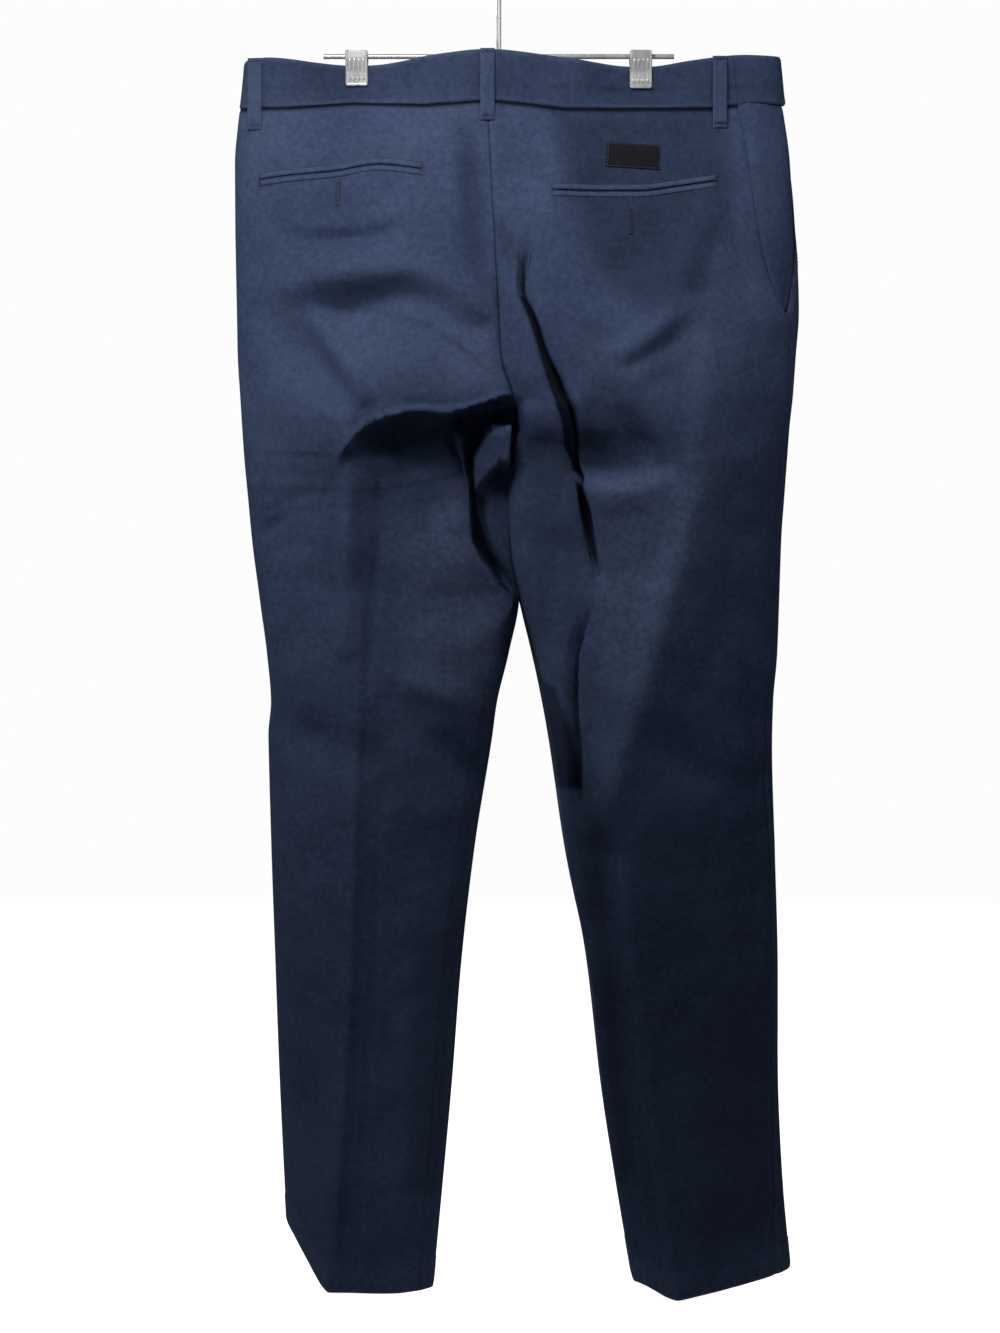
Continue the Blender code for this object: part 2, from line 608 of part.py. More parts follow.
def make_leg(side, tables, cloth, collection):
    """The two panels and the pocket facing of one leg."""
    outline, back, front, seam, mouth, folds = tables
    hand = -1.0 if side == "left" else 1.0
    grid, last, joined, facing = leg_tube(outline, back, front, seam, mouth, folds, FRONT_FOLDS)
    normals = tube_normals(grid, hand, last, joined)
    rows = np.arange(len(grid))
    half = SEAM_GAP / 2
    above = rows <= FORK_ROW
    for face, first, end in (("back", 0, last + 1), ("front", last + 1, grid.shape[1])):
        outer = grid[:, first:end].copy()
        lean = normals[:, first:end].copy()
        inner_column = 0 if face == "back" else -1
        seam_column = -1 if face == "back" else 0
        next_column = -2 if face == "back" else 1
        across = outer[:, next_column] - outer[:, seam_column]
        across[:, 2] = 0
        outer[:, seam_column] += half * unit(across)
        outer[above, inner_column, 0] += half * hand
        outer[~above, inner_column, 0] += 2 * half * hand
        step = -half if face == "back" else half
        outer[rows >= FORK_ROW, inner_column, 1] += step
        inner = outer - lean * CLOTH
        wall(f"{face}_panel_{side}", outer, inner, cloth, collection)
    make_waistband(side, grid, last, facing, cloth, collection)
    make_facing(side, facing, normals[:, last], ~joined, cloth, collection)


def joined_row(panel_grid, last, facing, hand):
    """The panels' top edge as one run, from centre back round the side to centre front,
    with the side seam's place in it."""
    top = np.concatenate([panel_grid[0, : last + 1], facing[0, 1:3], panel_grid[0, last + 1 :]])
    points = [top[0]]
    for before, after in zip(top[:-1], top[1:]):
        low, high = sorted((before[0], after[0]))
        for x in sorted(pinch_columns(hand), reverse=bool(before[0] > after[0])):
            if low < x < high and high - low > 1:
                points.append(before + (after - before) * (x - before[0]) / (after[0] - before[0]))
        points.append(after)
    seam_index = int(np.argmin([np.linalg.norm(point - top[last]) for point in points]))
    return np.array(points), seam_index


def pinch_columns(hand):
    centre = next(clip.x for clip in CLIPS if clip.x * hand > 0)
    return [centre + offset for offset in PINCH_COLUMNS]


def make_waistband(side, grid, last, facing, cloth, collection):
    """The back and front waistband of one side, pinched flat where the clip holds them."""
    hand = -1.0 if side == "left" else 1.0
    lower, seam_index = joined_row(grid, last, facing, hand)
    rim_x, rim_z = zip(*RIM_LINE)
    reach = np.abs(np.abs(lower[:, 0]) - abs(CLIPS[0].x))
    pinch = smooth(1 - (reach - PINCH_HALF) / PINCH_FADE)
    upper = lower.copy()
    upper[:, 0] *= RIM_INSET
    flat = np.sign(lower[:, 1]) * PINCHED
    upper[:, 1] = lower[:, 1] * RIM_LEAN * (1 - pinch) + flat * pinch
    upper[:, 2] = np.interp(upper[:, 0], rim_x, rim_z)
    lower[:, 2] += SEAM_GAP
    rows = []
    for v in BAND_ROWS:
        held = smooth((v - PINCH_DEEP) / (1 - PINCH_DEEP))
        share = (v * (1 - pinch) + held * pinch)[:, None]
        row = upper + (lower - upper) * v
        row[:, 1:2] = upper[:, 1:2] + (lower - upper)[:, 1:2] * share
        rows.append(row)
    band = np.array(rows)
    normals = surface_normals(band, hand)
    normals[:, 0, 0] = 0
    normals[:, -1, 0] = 0
    normals[0, :, 2] = 0
    normals[-1, :, 2] = 0
    normals = unit(normals)
    half = SEAM_GAP / 2
    band[:, 0, 0] += half * hand
    band[:, -1, 0] += half * hand
    halves = (("back", slice(0, seam_index + 1), -1), ("front", slice(seam_index, None), 1))
    for face, columns, step in halves:
        outer = band[:, columns].copy()
        lean = normals[:, columns]
        edge = -1 if face == "back" else 0
        along = unit(band[:, seam_index + step] - band[:, seam_index])
        outer[:, edge] += half * along
        wall(f"waistband_{face}_{side}", outer, outer - lean * BAND_CLOTH, cloth, collection)


def make_facing(side, facing, seam_normals, mouth_open, cloth, collection):
    """The slant pocket's facing: sewn to the back panel's side, under the front panel's mouth."""
    hand = -1.0 if side == "left" else 1.0
    mouth_width = np.linalg.norm(facing[:, 3] - facing[:, 0], axis=-1)
    whole = int((mouth_open & (mouth_width > FACING_END)).sum())
    outer = facing[: whole + 1].copy()
    outer[-1] = outer[-1, :1] + (outer[-1, -1:] - outer[-1, :1]) * np.linspace(0, 1, outer.shape[1])[:, None]
    normals = surface_normals(outer, hand)
    normals[:, 0] = seam_normals[: whole + 1]
    away = np.linalg.norm(outer - outer[:, :1], axis=-1)
    span = np.linalg.norm(outer[:, 3] - outer[:, 0], axis=-1)[:, None]
    deep = (CLOTH + FACING_GAP) * smooth(away / np.maximum(0.8 * span, 3.0))
    deep[-1] = CLOTH + 2 * FACING_GAP
    outer[:, 0] += SEAM_GAP / 2 * unit(outer[:, 1] - outer[:, 0])
    outer -= normals * deep[..., None]
    wall(f"pocket_facing_{side}", outer, outer - normals * TRIM_CLOTH, cloth, collection)


class Cover:
    """Finds the outside of what is built so far, seen from the back or the front."""

    def __init__(self, objects):
        self.trees = []
        for made in objects:
            mesh = made.data
            points = [v.co for v in mesh.vertices]
            faces = [tuple(p.vertices) for p in mesh.polygons]
            self.trees.append(BVHTree.FromPolygons(points, faces))

    def at(self, x, z, face):
        """The y of the outermost cloth within a small patch about this place."""
        way = 1.0 if face == "back" else -1.0
        hits = []
        for dx, dz in itertools.product((-1.5, 0.0, 1.5), repeat=2):
            start = Vector(((x + dx) * MM, -way, (z + dz) * MM))
            spots = [tree.ray_cast(start, Vector((0, way, 0)))[0] for tree in self.trees]
            hits += [spot.y / MM for spot in spots if spot]
        return min(hits) if face == "back" else max(hits)


def laid_patch(name, cover, face, places, lift, thick, material_, collection):
    """A thin piece laid on the cloth: places is a grid of (x, z), lift its stand-off."""
    way = -1.0 if face == "back" else 1.0
    places = np.asarray(places, float)
    lift = np.broadcast_to(lift, places.shape[:2])
    outer = np.zeros((*places.shape[:2], 3))
    for r, c in np.ndindex(*places.shape[:2]):
        x, z = places[r, c]
        outer[r, c] = (x, cover.at(x, z, face) + way * (lift[r, c] + thick), z)
    inner = outer.copy()
    inner[..., 1] -= way * thick
    return wall(name, outer, inner, material_, collection)


def make_loops(cover, cloth, collection):
    rim_x, rim_z = zip(*RIM_LINE)
    stand_off = np.array(LOOP_BOW) + LAY_GAP
    for loop in LOOPS:
        top = np.interp(loop.x, rim_x, rim_z) - LOOP_TOP_DROP
        heights = np.linspace(top, top - LOOP_LENGTH + 2, len(stand_off))
        half = LOOP_WIDTH / 2
        places = [[(loop.x - half, z), (loop.x + half, z)] for z in heights]
        laid_patch(loop.name, cover, loop.face, places, stand_off[:, None], TRIM_CLOTH, cloth, collection)


def make_welts(cover, cloth, collection):
    """Two narrow welts to each back pocket, with the slit between them."""
    for pocket in POCKETS:
        line_x, line_z = zip(*pocket.line)
        across = np.linspace(line_x[0], line_x[-1], 13)
        top = glide(line_x, line_z, across)
        drop = 0.0
        for welt in ("upper", "lower"):
            rows = [np.stack([across, top - drop - depth], axis=-1) for depth in (0.0, POCKET_WELT)]
            name = f"pocket_welt_{welt}_{pocket.side}"
            laid_patch(name, cover, "back", rows, LAY_GAP, TRIM_CLOTH, cloth, collection)
            drop += POCKET_WELT + POCKET_SLIT


def make_label(cover, cloth, collection):
    turn = np.array(
        [[math.cos(LABEL_TURN), math.sin(LABEL_TURN)], [-math.sin(LABEL_TURN), math.cos(LABEL_TURN)]]
    )
    across = np.linspace(-0.5, 0.5, 5) * LABEL_SIZE[0]
    down = np.linspace(0.5, -0.5, 3) * LABEL_SIZE[1]
    places = [[np.array(LABEL_CENTRE) + np.array([x, z]) @ turn for x in across] for z in down]
    laid_patch("back_label", cover, "back", places, LAY_GAP, TRIM_CLOTH, cloth, collection)


def make_fly(cover, seam_x, cloth, collection):
    """The left front's lap over the right, turning in to the seam at its foot."""
    heights = np.linspace(SEAM_Z - 4, FLY_BOTTOM, 10)
    places = []
    for z in heights:
        edge = seam_x(z) + 3.0
        low = np.clip((z - FLY_BOTTOM) / FLY_CURVE, 0.0, 1.0)
        width = FLY_FOOT + (FLY_WIDTH - FLY_FOOT) * math.sqrt(1 - (1 - low) ** 2)
        places.append([(edge - width, z), (edge - width / 2, z), (edge, z)])
    laid_patch("fly_lap", cover, "front", places, FLY_GAP, TRIM_CLOTH, cloth, collection)


def tube(name, points, radius, metal, collection):
    """A wire of round section along a list of points."""
    curve = bpy.data.curves.new(name, "CURVE")
    curve.dimensions = "3D"
    curve.bevel_depth = radius * MM
    curve.bevel_resolution = 2
    curve.use_fill_caps = True
    spline = curve.splines.new("POLY")
    spline.points.add(len(points) - 1)
    for point, place in zip(spline.points, points):
        point.co = (*(np.array(place) * MM), 1.0)
    made = bpy.data.objects.new(name, curve)
    curve.materials.append(metal)
    collection.objects.link(made)
    return made


def sleeve(name, x, length, metal, collection):
    """A short tube round the hanger's bar."""
    inner = WIRE / 2 + SEAM_GAP
    end = length / 2
    profile = [(-end, inner), (-end, SLEEVE_RADIUS), (end, SLEEVE_RADIUS), (end, inner)]
    mesh = bpy.data.meshes.new(name)
    points = []
    for turn in range(SLEEVE_SIDES):
        angle = 2 * math.pi * turn / SLEEVE_SIDES
        for along, radius in profile:
            points.append(
                ((x + along) * MM, radius * math.sin(angle) * MM, (BAR_Z + radius * math.cos(angle)) * MM)
            )
    faces = []
    for turn in range(SLEEVE_SIDES):
        here = turn * 4
        there = (turn + 1) % SLEEVE_SIDES * 4
        for k in range(4):
            nearby = (k + 1) % 4
            faces.append((here + k, here + nearby, there + nearby, there + k))
    mesh.from_pydata(points, [], faces)
    shape = bmesh.new()
    shape.from_mesh(mesh)
    bmesh.ops.recalc_face_normals(shape, faces=shape.faces)
    shape.to_mesh(mesh)
    shape.free()
    return add_object(name, mesh, metal, collection)


def make_clip(clip, metal, collection):
    """Two jaws hung on the bar: a ribbed one over the back and a plain one over the front."""
    sleeve(f"clip_sleeve_{clip.side}", clip.x, CLIP_WIDTH - 2, metal, collection)
    grip = PINCHED + LAY_GAP
    shoulder = SLEEVE_RADIUS + SEAM_GAP
    profile = [
        (BAR_Z + 4.5, shoulder, CLIP_PLATE),
        (BAR_Z - 4.0, shoulder, CLIP_PLATE),
        (BAR_Z - 9.0, grip, CLIP_PLATE),
        (clip.bottom + 3.0, grip, CLIP_PLATE),
        (clip.bottom + 2.2, grip, CLIP_LIP),
        (clip.bottom, grip, CLIP_LIP),
    ]
    rib_edges = [0.0]
    for rib in range(CLIP_RIBS):
        middle = (rib + 0.5) / CLIP_RIBS
        rib_edges += [middle - 0.07, middle - 0.05, middle + 0.05, middle + 0.07]
    rib_edges.append(1.0)
    for face, way in (("back", -1.0), ("front", 1.0)):
        shares = rib_edges if face == "back" else [0.0, 1.0]
        outer = np.zeros((len(profile), len(shares), 3))
        inner = outer.copy()
        for r, (z, depth, thick) in enumerate(profile):
            for c, share in enumerate(shares):
                on_rib = c % 4 in (2, 3) and 0 < c < len(shares) - 1
                raised = CLIP_RIB if on_rib else 0.0
                x = clip.x + (share - 0.5) * CLIP_WIDTH
                outer[r, c] = (x, way * (depth + thick + raised), z)
                inner[r, c] = (x, way * depth, z)
        wall(f"clip_jaw_{face}_{clip.side}", outer, inner, metal, collection)


def make_hanger(metal, collection):
    bar = [(x, 0, BAR_Z) for x in (-BAR_HALF, 0, BAR_HALF)]
    tube("hanger_bar", bar, WIRE / 2, metal, collection)
    sleeve("hook_sleeve", 0.0, HOOK_SLEEVE, metal, collection)
    wire = WIRE / 2
    ring = HOOK_RADIUS + wire
    foot = BAR_Z + SLEEVE_RADIUS + SEAM_GAP
    points = [(0, 0, foot + k * (HOOK_NECK - foot) / 4) for k in range(5)]
    for step in range(1, 7):
        t = step / 7
        points.append((ring * smooth(t), 0, HOOK_NECK - (HOOK_NECK + HOOK_RADIUS) * t))
    for step in range(19):
        angle = HOOK_TURN * step / 18
        points.append((ring * math.cos(angle), 0, -HOOK_RADIUS + ring * math.sin(angle)))
    tube("hanger_hook", points, wire, metal, collection)
    for clip in CLIPS:
        make_clip(clip, metal, collection)


def make_button(cover, plastic, collection):
    x, z = BUTTON_PLACE
    rim = (-0.94 * BUTTON_RADIUS, 0, 0.94 * BUTTON_RADIUS)
    spots = [cover.at(x + dx, z + dz, "front") for dx in rim for dz in rim]
    mesh = bpy.data.meshes.new("waist_button")
    shape = bmesh.new()
    bmesh.ops.create_cone(
        shape,
        cap_ends=True,
        segments=24,
        radius1=BUTTON_RADIUS * MM,
        radius2=BUTTON_RADIUS * MM,
        depth=BUTTON_DEPTH * MM,
    )
    shape.to_mesh(mesh)
    shape.free()
    made = add_object("waist_button", mesh, plastic, collection)
    made.location = (x * MM, (max(spots) + SEAM_GAP + BUTTON_DEPTH / 2) * MM, z * MM)
    made.rotation_euler = (math.pi / 2, 0, 0)


def main():
    clear_scene()
    collection = bpy.data.collections.new("chino_trousers")
    bpy.context.scene.collection.children.link(collection)
    cloth = material("navy_twill", (0.019, 0.029, 0.064), 0.85)
    label = material("black_label", (0.012, 0.012, 0.014), 0.6)
    metal = material("clip_metal", (0.62, 0.63, 0.65), 0.32, 1.0)
    plastic = material("navy_button", (0.015, 0.018, 0.03), 0.4)
    left = (LEFT_OUTLINE, LEFT_BACK, LEFT_FRONT, LEFT_SEAM, LEFT_MOUTH, LEFT_FOLDS)
    right = (RIGHT_OUTLINE, RIGHT_BACK, RIGHT_FRONT, RIGHT_SEAM, RIGHT_MOUTH, RIGHT_FOLDS)
    for side, tables in (("left", left), ("right", right)):
        make_leg(side, tables, cloth, collection)
    cover = Cover(list(collection.objects))
    make_loops(cover, cloth, collection)
    make_welts(cover, cloth, collection)
    make_label(cover, label, collection)
    centre_z = [row.inner_z for row in LEFT_OUTLINE[:6]]
    centre_x = [row.inner_x for row in LEFT_OUTLINE[:6]]
    make_fly(cover, lambda z: float(glide(centre_z, centre_x, np.array([z]))[0]), cloth, collection)
    make_button(cover, plastic, collection)
    make_hanger(metal, collection)


main()
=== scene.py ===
"""Navy chino trousers hanging by the waistband from a wire clip hanger, back towards -Y.

Tables are in millimetres; +X is the wearer's right, +Z is up, and the origin is the
underside of the hook's top. Each leg is one closed tube of rounded sections, cut into its
back and front panel at the side seam and the inseam, with the creases laid in afterwards.
"""

import math
from collections import namedtuple

import bmesh
import bpy
import numpy as np
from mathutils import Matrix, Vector
from mathutils.bvhtree import BVHTree

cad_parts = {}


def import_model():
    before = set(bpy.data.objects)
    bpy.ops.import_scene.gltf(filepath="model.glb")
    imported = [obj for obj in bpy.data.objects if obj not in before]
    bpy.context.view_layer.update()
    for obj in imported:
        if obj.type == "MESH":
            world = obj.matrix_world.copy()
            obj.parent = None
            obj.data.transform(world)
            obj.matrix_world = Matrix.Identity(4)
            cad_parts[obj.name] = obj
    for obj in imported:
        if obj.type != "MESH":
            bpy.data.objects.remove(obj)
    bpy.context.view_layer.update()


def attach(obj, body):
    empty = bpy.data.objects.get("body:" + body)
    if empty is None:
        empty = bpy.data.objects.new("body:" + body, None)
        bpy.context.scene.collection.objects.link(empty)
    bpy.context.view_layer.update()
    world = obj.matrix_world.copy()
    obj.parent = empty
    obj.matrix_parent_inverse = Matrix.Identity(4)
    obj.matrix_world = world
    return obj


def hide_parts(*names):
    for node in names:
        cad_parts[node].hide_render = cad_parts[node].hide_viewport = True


MM = 0.001

# Cloth and seams
CLOTH = 1.1
BAND_CLOTH = 2.2
TRIM_CLOTH = 1.0
SEAM_GAP = 0.12
FRONT_SHIFT = -0.9
FRONT_SHIFT_OVER = 60.0
SEAM_ROLL = 0.9
SEAM_ROLL_WIDTH = 2.4
WAIST_ROLL = 0.7
WAIST_ROLL_WIDTH = 3.0
BAND_OVERLAP = 0.8
FACING_GAP = 1.6
FACING_END = 4.0
POCKET_BOTTOM = -322.0
HEM_DEPTH = 25.0
HEM_STEP = 0.45
HEM_LAYER = 0.9
HEM_SOFT = 1.6
HEM_PUCKER = 0.35
PUCKER_WIDTH = 1.5
HEM_ROLL = 0.5
HEM_ROLL_WIDTH = 1.2
SEAT_TOP = -153.0
FORK = -440.0
LEG_END = -1114.0

# Trim
LOOP_WIDTH = 11.5
LOOP_LENGTH = 58.0
LOOP_LIFT = 2.6
WELT = 4.6
WELT_SLIT = 0.9
WELT_RISE = 1.5
WELT_LENGTH = 132
SLIT_DEPTH = 1.4
LABEL_CENTRE = (107.5, -196.8)
LABEL_SIZE = (43.0, 20.0)
LABEL_TURN = math.radians(-3.0)
FLY_WIDTH = 38.0
FLY_BOTTOM = -318.0
FLY_FOOT = 9.0
FLY_BEND = 34.0
FLY_LAP = 3.0
BUTTON_PLACE = (-18.0, -131.0)
BUTTON_RADIUS = 8.5
BUTTON_HOLES = ((1.6, 1.6), (-1.6, 1.6), (1.6, -1.6), (-1.6, -1.6))

# Stitching: a thread's radius, and the length and pitch of one stitch
THREAD = 0.24
STITCH = 2.3
STITCH_PITCH = 3.0
STITCH_SMALL = (0.9, 0.85, 0.9)
STITCH_LARGE = (1.1, 1.1, 1.08)
STITCH_SEED = 11
MOUTH_STITCH = 6.0
TACK_PLACES = (0.93, 0.06)
TACK_HALF = 0.88
TACK_TURNS = 36

# Hanger
WIRE = 4.0
BAR_Z = -114.0
BAR_HALF = 142.0
HOOK_RADIUS = 22.0
HOOK_NECK = -62.0
HOOK_TURN = 220.0
SLEEVE_RADIUS = 5.0
CLIP_WIDTH = 18.0
JAW_RISE = 4.5
JAW_RIBS = (-0.6, -0.2, 0.2, 0.6)
# A sleeve groove's outline: places along it, each with its depth
GROOVE = ((-0.7, 0), (-0.4, 0.35), (0.4, 0.35), (0.7, 0))

# How finely the cloth is divided
ROW_PITCH = 2.9
BACK_COLUMNS = (9, 14, 12, 18, 36, 32)
FRONT_COLUMNS = (26, 38, 26)
FACING_COLUMNS = 12

# Small parts of the cloth's shape
CREASE_REACH = 3.2
LEDGE_END = 8.0
RIPPLE_WAVES = 36
RIPPLE_LENGTHS = (16.0, 80.0)
RIPPLE_SHARE = 0.0022
BAND_RIPPLE = 77
SEAM_FADE = 90.0
CREASE_FADE = 25.0
CENTRE_HOLD = 9.0
FORK_BLEND = 40.0

# Wear: how wide the rubbed edges and the cloth sewn in beside them are; and how dark the
# painted shadow under the waistband is
RUBBED_WIDTH = 3.0
SEWN_IN_WIDTH = 1.3
HEM_WEAR_WIDTH = 2.0
BAND_SHADOW = 1.8
BAND_SHADOW_WIDTH = 3.4

Outline = namedtuple("Outline", "z side_z crease_z inner_z side_x side_y inner_x inner_y")
Back = namedtuple(
    "Back",
    "z side_turn crease_x crease_y crisp edge_x edge_y fold lap_x lap_y crest_x crest_y turn_x turn_y",
)
Front = namedtuple("Front", "z side_turn crease_x crease_y crisp turn_x turn_y inner_y")
Seam = namedtuple("Seam", "z place")
Leg = namedtuple("Leg", "outline back front seam mouth creases facets shades ripple")
Panel = namedtuple("Panel", "piece outer lean across up")


def rows_of(kind, rows):
    return [kind(*row) for row in rows]


LEFT_OUTLINE = rows_of(Outline, [
    (-153, -153, -153, -153, -210.5, 0, -9.3, -24),
    (-200, -200, -200, -200, -215, 0, -6.8, -36),
    (-260, -260, -260, -260, -215.2, 0, -3.4, -50),
    (-320, -320, -320, -322, -214.8, 0, 0, -64),
    (-355, -355, -355, -358, -214.5, 0, 2.2, -73),
    (-385, -385, -385, -386, -213, 0, 11, -79),
    (-415, -415, -415, -404, -211.5, 0, 14, -56),
    (-440, -440, -440, -419, -210, 0, 12, 0),
    (-470, -470, -470, -455, -207.5, 0, 14, 4),
    (-505, -505, -505, -497, -204.6, 0, 14.5, 4),
    (-556, -556, -556, -552, -198.6, 0, 17, 0),
    (-600, -600, -600, -598, -193.5, 2, 8.5, 0),
    (-640, -640, -640, -640, -190.7, 3, -1.5, -1),
    (-670, -670, -670, -670, -193.4, 5, -5.6, -2),
    (-760, -760, -760, -760, -192.6, 10, -20, -5),
    (-860, -860, -860, -860, -191.2, 18, -31.5, -10),
    (-960, -960, -960, -960, -189.6, 26, -39.4, -14),
    (-1050, -1050, -1052, -1052, -187.4, 34, -47.8, -18),
    (-1114, -1101, -1136, -1137, -186, 40, -56, -20),
])

RIGHT_OUTLINE = rows_of(Outline, [
    (-153, -153, -153, -153, 233, 0, -9.3, -24),
    (-200, -200, -200, -200, 240, 0, -6.8, -36),
    (-260, -260, -260, -260, 243.5, 0, -3.4, -50),
    (-320, -320, -320, -322, 246, 0, 0, -64),
    (-355, -355, -355, -358, 244, 0, 2.2, -73),
    (-385, -385, -385, -386, 242.2, 0, 11, -79),
    (-415, -415, -415, -404, 239.5, 0, 14, -56),
    (-440, -440, -440, -419, 238, 0, 12, 0),
    (-470, -470, -470, -457, 236.2, 0, 5, -30),
    (-505, -505, -505, -497, 234.2, 0, 6, -32),
    (-556, -556, -556, -552, 233.2, 0, 15.6, -20),
    (-600, -600, -600, -598, 232.2, 0, 26.5, -8),
    (-640, -640, -640, -640, 229.4, 0, 35.5, 0),
    (-670, -670, -670, -670, 228.9, 0, 41, 0),
    (-760, -760, -760, -760, 232.2, 0, 54.5, 0),
    (-860, -860, -860, -860, 236.5, 2, 74.5, 2),
    (-960, -960, -960, -960, 238.4, 5, 85.5, 5),
    (-1050, -1050, -1050, -1050, 243.6, 8, 99, 8),
    (-1114, -1133, -1140, -1126, 252, 10, 112, 10),
])

LEFT_BACK = rows_of(Back, [
    (-153, 14, -115, -17, 1, -70, -25, 1, -48, -26, -38, -25.5, -28, -25),
    (-200, 18, -118.5, -38, 1, -69, -40, 1, -45.4, -39, -34.6, -38, -23.7, -37),
    (-260, 22, -115.3, -57, 1, -64.5, -57, 1, -41.1, -55, -30.4, -53.5, -19.6, -52),
    (-320, 28, -108.5, -73, 1, -58.1, -74, 1, -33, -71, -23.3, -69, -13.6, -67),
    (-355, 32, -106.1, -80, 1, -52.1, -82, 1, -27, -79, -17.4, -77.5, -7.7, -76),
    (-385, 34, -104.8, -86, 1, -46.1, -88, 1, -19.2, -86, -9.6, -84.5, 0, -83),
    (-400, 34, -103.9, -86, 1, -42.3, -88, 1, -17.3, -85, -4.8, -83.5, 7.7, -82),
    (-412, 34, -104, -83, 1, -36.6, -81, 0.8, -13.5, -75, 0, -72.5, 13.6, -70),
    (-440, 34, -102.7, -73, 0.8, -21.9, -62, 0.25, -19.6, -56, -1.5, -57, 16.6, -58),
    (-470, 34, -102.2, -64, 0.35, -22, -60, 0.2, -18.6, -54, -2.4, -55, 13.7, -56),
    (-503, 33, -104.2, -63, 0.16, -22, -58, 0.2, -17.6, -51, -2.4, -52, 12.7, -53),
    (-522, 33, -105.1, -64, 0.14, -13.7, -57, 0.2, -9.8, -50, 1.2, -50, 12.3, -50),
    (-540, 32, -106.1, -64, 0.12, 1.4, -52, 0.25, 4.9, -46, 9.8, -45, 14.8, -44),
    (-553, 32, -108, -65, 0.1, 11.8, -47, 0.5, 13.8, -42, 15.3, -40, 16.8, -38),
    (-600, 31, -110.8, -67, 0.09, -19.6, -54, 1, -3.9, -44, 2.2, -35, 8.4, -26),
    (-640, 30, -113.6, -68, 0.08, -33.3, -54, 1, -13.8, -42, -7.7, -33, -1.5, -24),
    (-670, 30, -115.6, -68, 0.07, -39.2, -53, 1, -17.8, -40, -11.7, -31, -5.6, -22),
    (-760, 29, -118.6, -66, 0.07, -54.9, -50, 1, -33.6, -38, -26.8, -29, -19.9, -20),
    (-860, 28, -122.7, -63, 0.07, -66.7, -49, 1, -45.5, -36, -38.5, -28, -31.4, -20),
    (-960, 26, -128.8, -59, 0.07, -74.6, -48, 0.8, -53.4, -36, -46.3, -30, -39.2, -24),
    (-1050, 24, -136, -54, 0.06, -81.5, -48, 0.7, -61.3, -36, -54.4, -31, -47.5, -26),
    (-1114, 22, -143.4, -47, 0.06, -86.4, -48, 0.6, -67.1, -40, -61.3, -35, -55.5, -30),
])

RIGHT_BACK = rows_of(Back, [
    (-153, 14, 115, -17, 1, 60, -25, 1, 40, -26, 28, -26, 15, -25),
    (-200, 18, 120.6, -35, 1, 47.3, -42, 1, 29.6, -40, 18.8, -38, 7.9, -37),
    (-240, 21, 125.7, -48, 1, 33.3, -54, 1, 20.6, -52, 11.8, -50, 2, -48),
    (-276, 24, 134.8, -58, 1, 24.3, -65, 0.5, 22.5, -58, 14.6, -62, 5.9, -58),
    (-303, 26, 147.9, -65, 1, 19.9, -73, 0.3, 24.4, -56, 14, -76, 5.8, -69),
    (-330, 28, 164.9, -71, 0.9, 30.4, -80, 0.2, 36.2, -54, 24.1, -85, 9.7, -77),
    (-352, 28, 164.4, -76, 0.8, 37.6, -84, 0.2, 44.1, -52, 30.7, -91, 13.5, -82),
    (-374, 28, 163.2, -79, 0.7, 48.1, -87, 0.2, 54.9, -50, 38.3, -95, 19.2, -88),
    (-390, 28, 161.9, -82, 0.6, 54.6, -88, 0.2, 61.9, -46, 44, -96, 23.1, -88),
    (-408, 28, 160.8, -84, 0.55, 60.5, -86, 0.2, 67.8, -46, 49.8, -93, 19.2, -92),
    (-421, 28, 158.8, -85, 0.5, 61.8, -83, 0.22, 68.7, -50, 52.8, -91, 18.2, -91),
    (-433, 28, 157.8, -85, 0.5, 62, -77, 0.25, 67.5, -54, 55, -87, 16.4, -88),
    (-446, 28, 156.9, -85, 0.5, 61.3, -72, 0.3, 65.4, -58, 57.2, -80, 12.6, -82),
    (-471, 28, 154, -85, 0.5, 70.8, -73, 0.22, 75.4, -52, 63.1, -74, 9.7, -74),
    (-493, 28, 150.2, -84, 0.5, 74.5, -72, 0.3, 78.3, -54, 68, -70, 9.7, -70),
    (-515, 28, 146.4, -84, 0.5, 78.3, -70, 0.4, 81.1, -58, 73.4, -67, 10.7, -65),
    (-535, 28, 140.7, -83, 0.5, 82.6, -68, 0.8, 79.8, -64, 72, -65, 13.6, -63),
    (-556, 28, 134.9, -82, 0.5, 80.7, -67, 1, 73.9, -65, 58.4, -64, 19.5, -61),
    (-600, 28, 123.5, -80, 0.5, 64.2, -65, 0.3, 67.5, -55, 54.5, -64, 33.2, -60),
    (-640, 28, 114, -78, 0.5, 64.2, -64, 0.3, 68.6, -53, 54.5, -63, 39, -60),
    (-680, 28, 105.5, -75, 0.5, 67.2, -63, 0.3, 71.5, -52, 56.5, -62, 44.9, -58),
    (-704, 28, 102.7, -73, 0.45, 67.2, -62, 0.4, 71.5, -53, 56.6, -61, 47.9, -57),
    (-722, 28, 102.7, -72, 0.45, 70.2, -61, 0.8, 68.4, -58, 58.6, -59, 49.9, -56),
    (-760, 27, 105.8, -70, 0.4, 89.7, -61, 1, 76.1, -59, 64.5, -57, 54.8, -54),
    (-860, 26, 116.8, -64, 0.3, 101.5, -60, 1, 91.8, -59, 82.1, -57, 74.4, -54),
    (-960, 24, 126.8, -60, 0.2, 111.4, -57, 1, 101.7, -56, 93, -54, 85.3, -51),
    (-1050, 22, 139.7, -57, 0.12, 125.3, -54, 1, 115.6, -53, 106.9, -51, 99.2, -48),
    (-1114, 20, 150.6, -55, 0.1, 135.2, -52, 1, 126.5, -51, 118.8, -49, 112.1, -46),
])

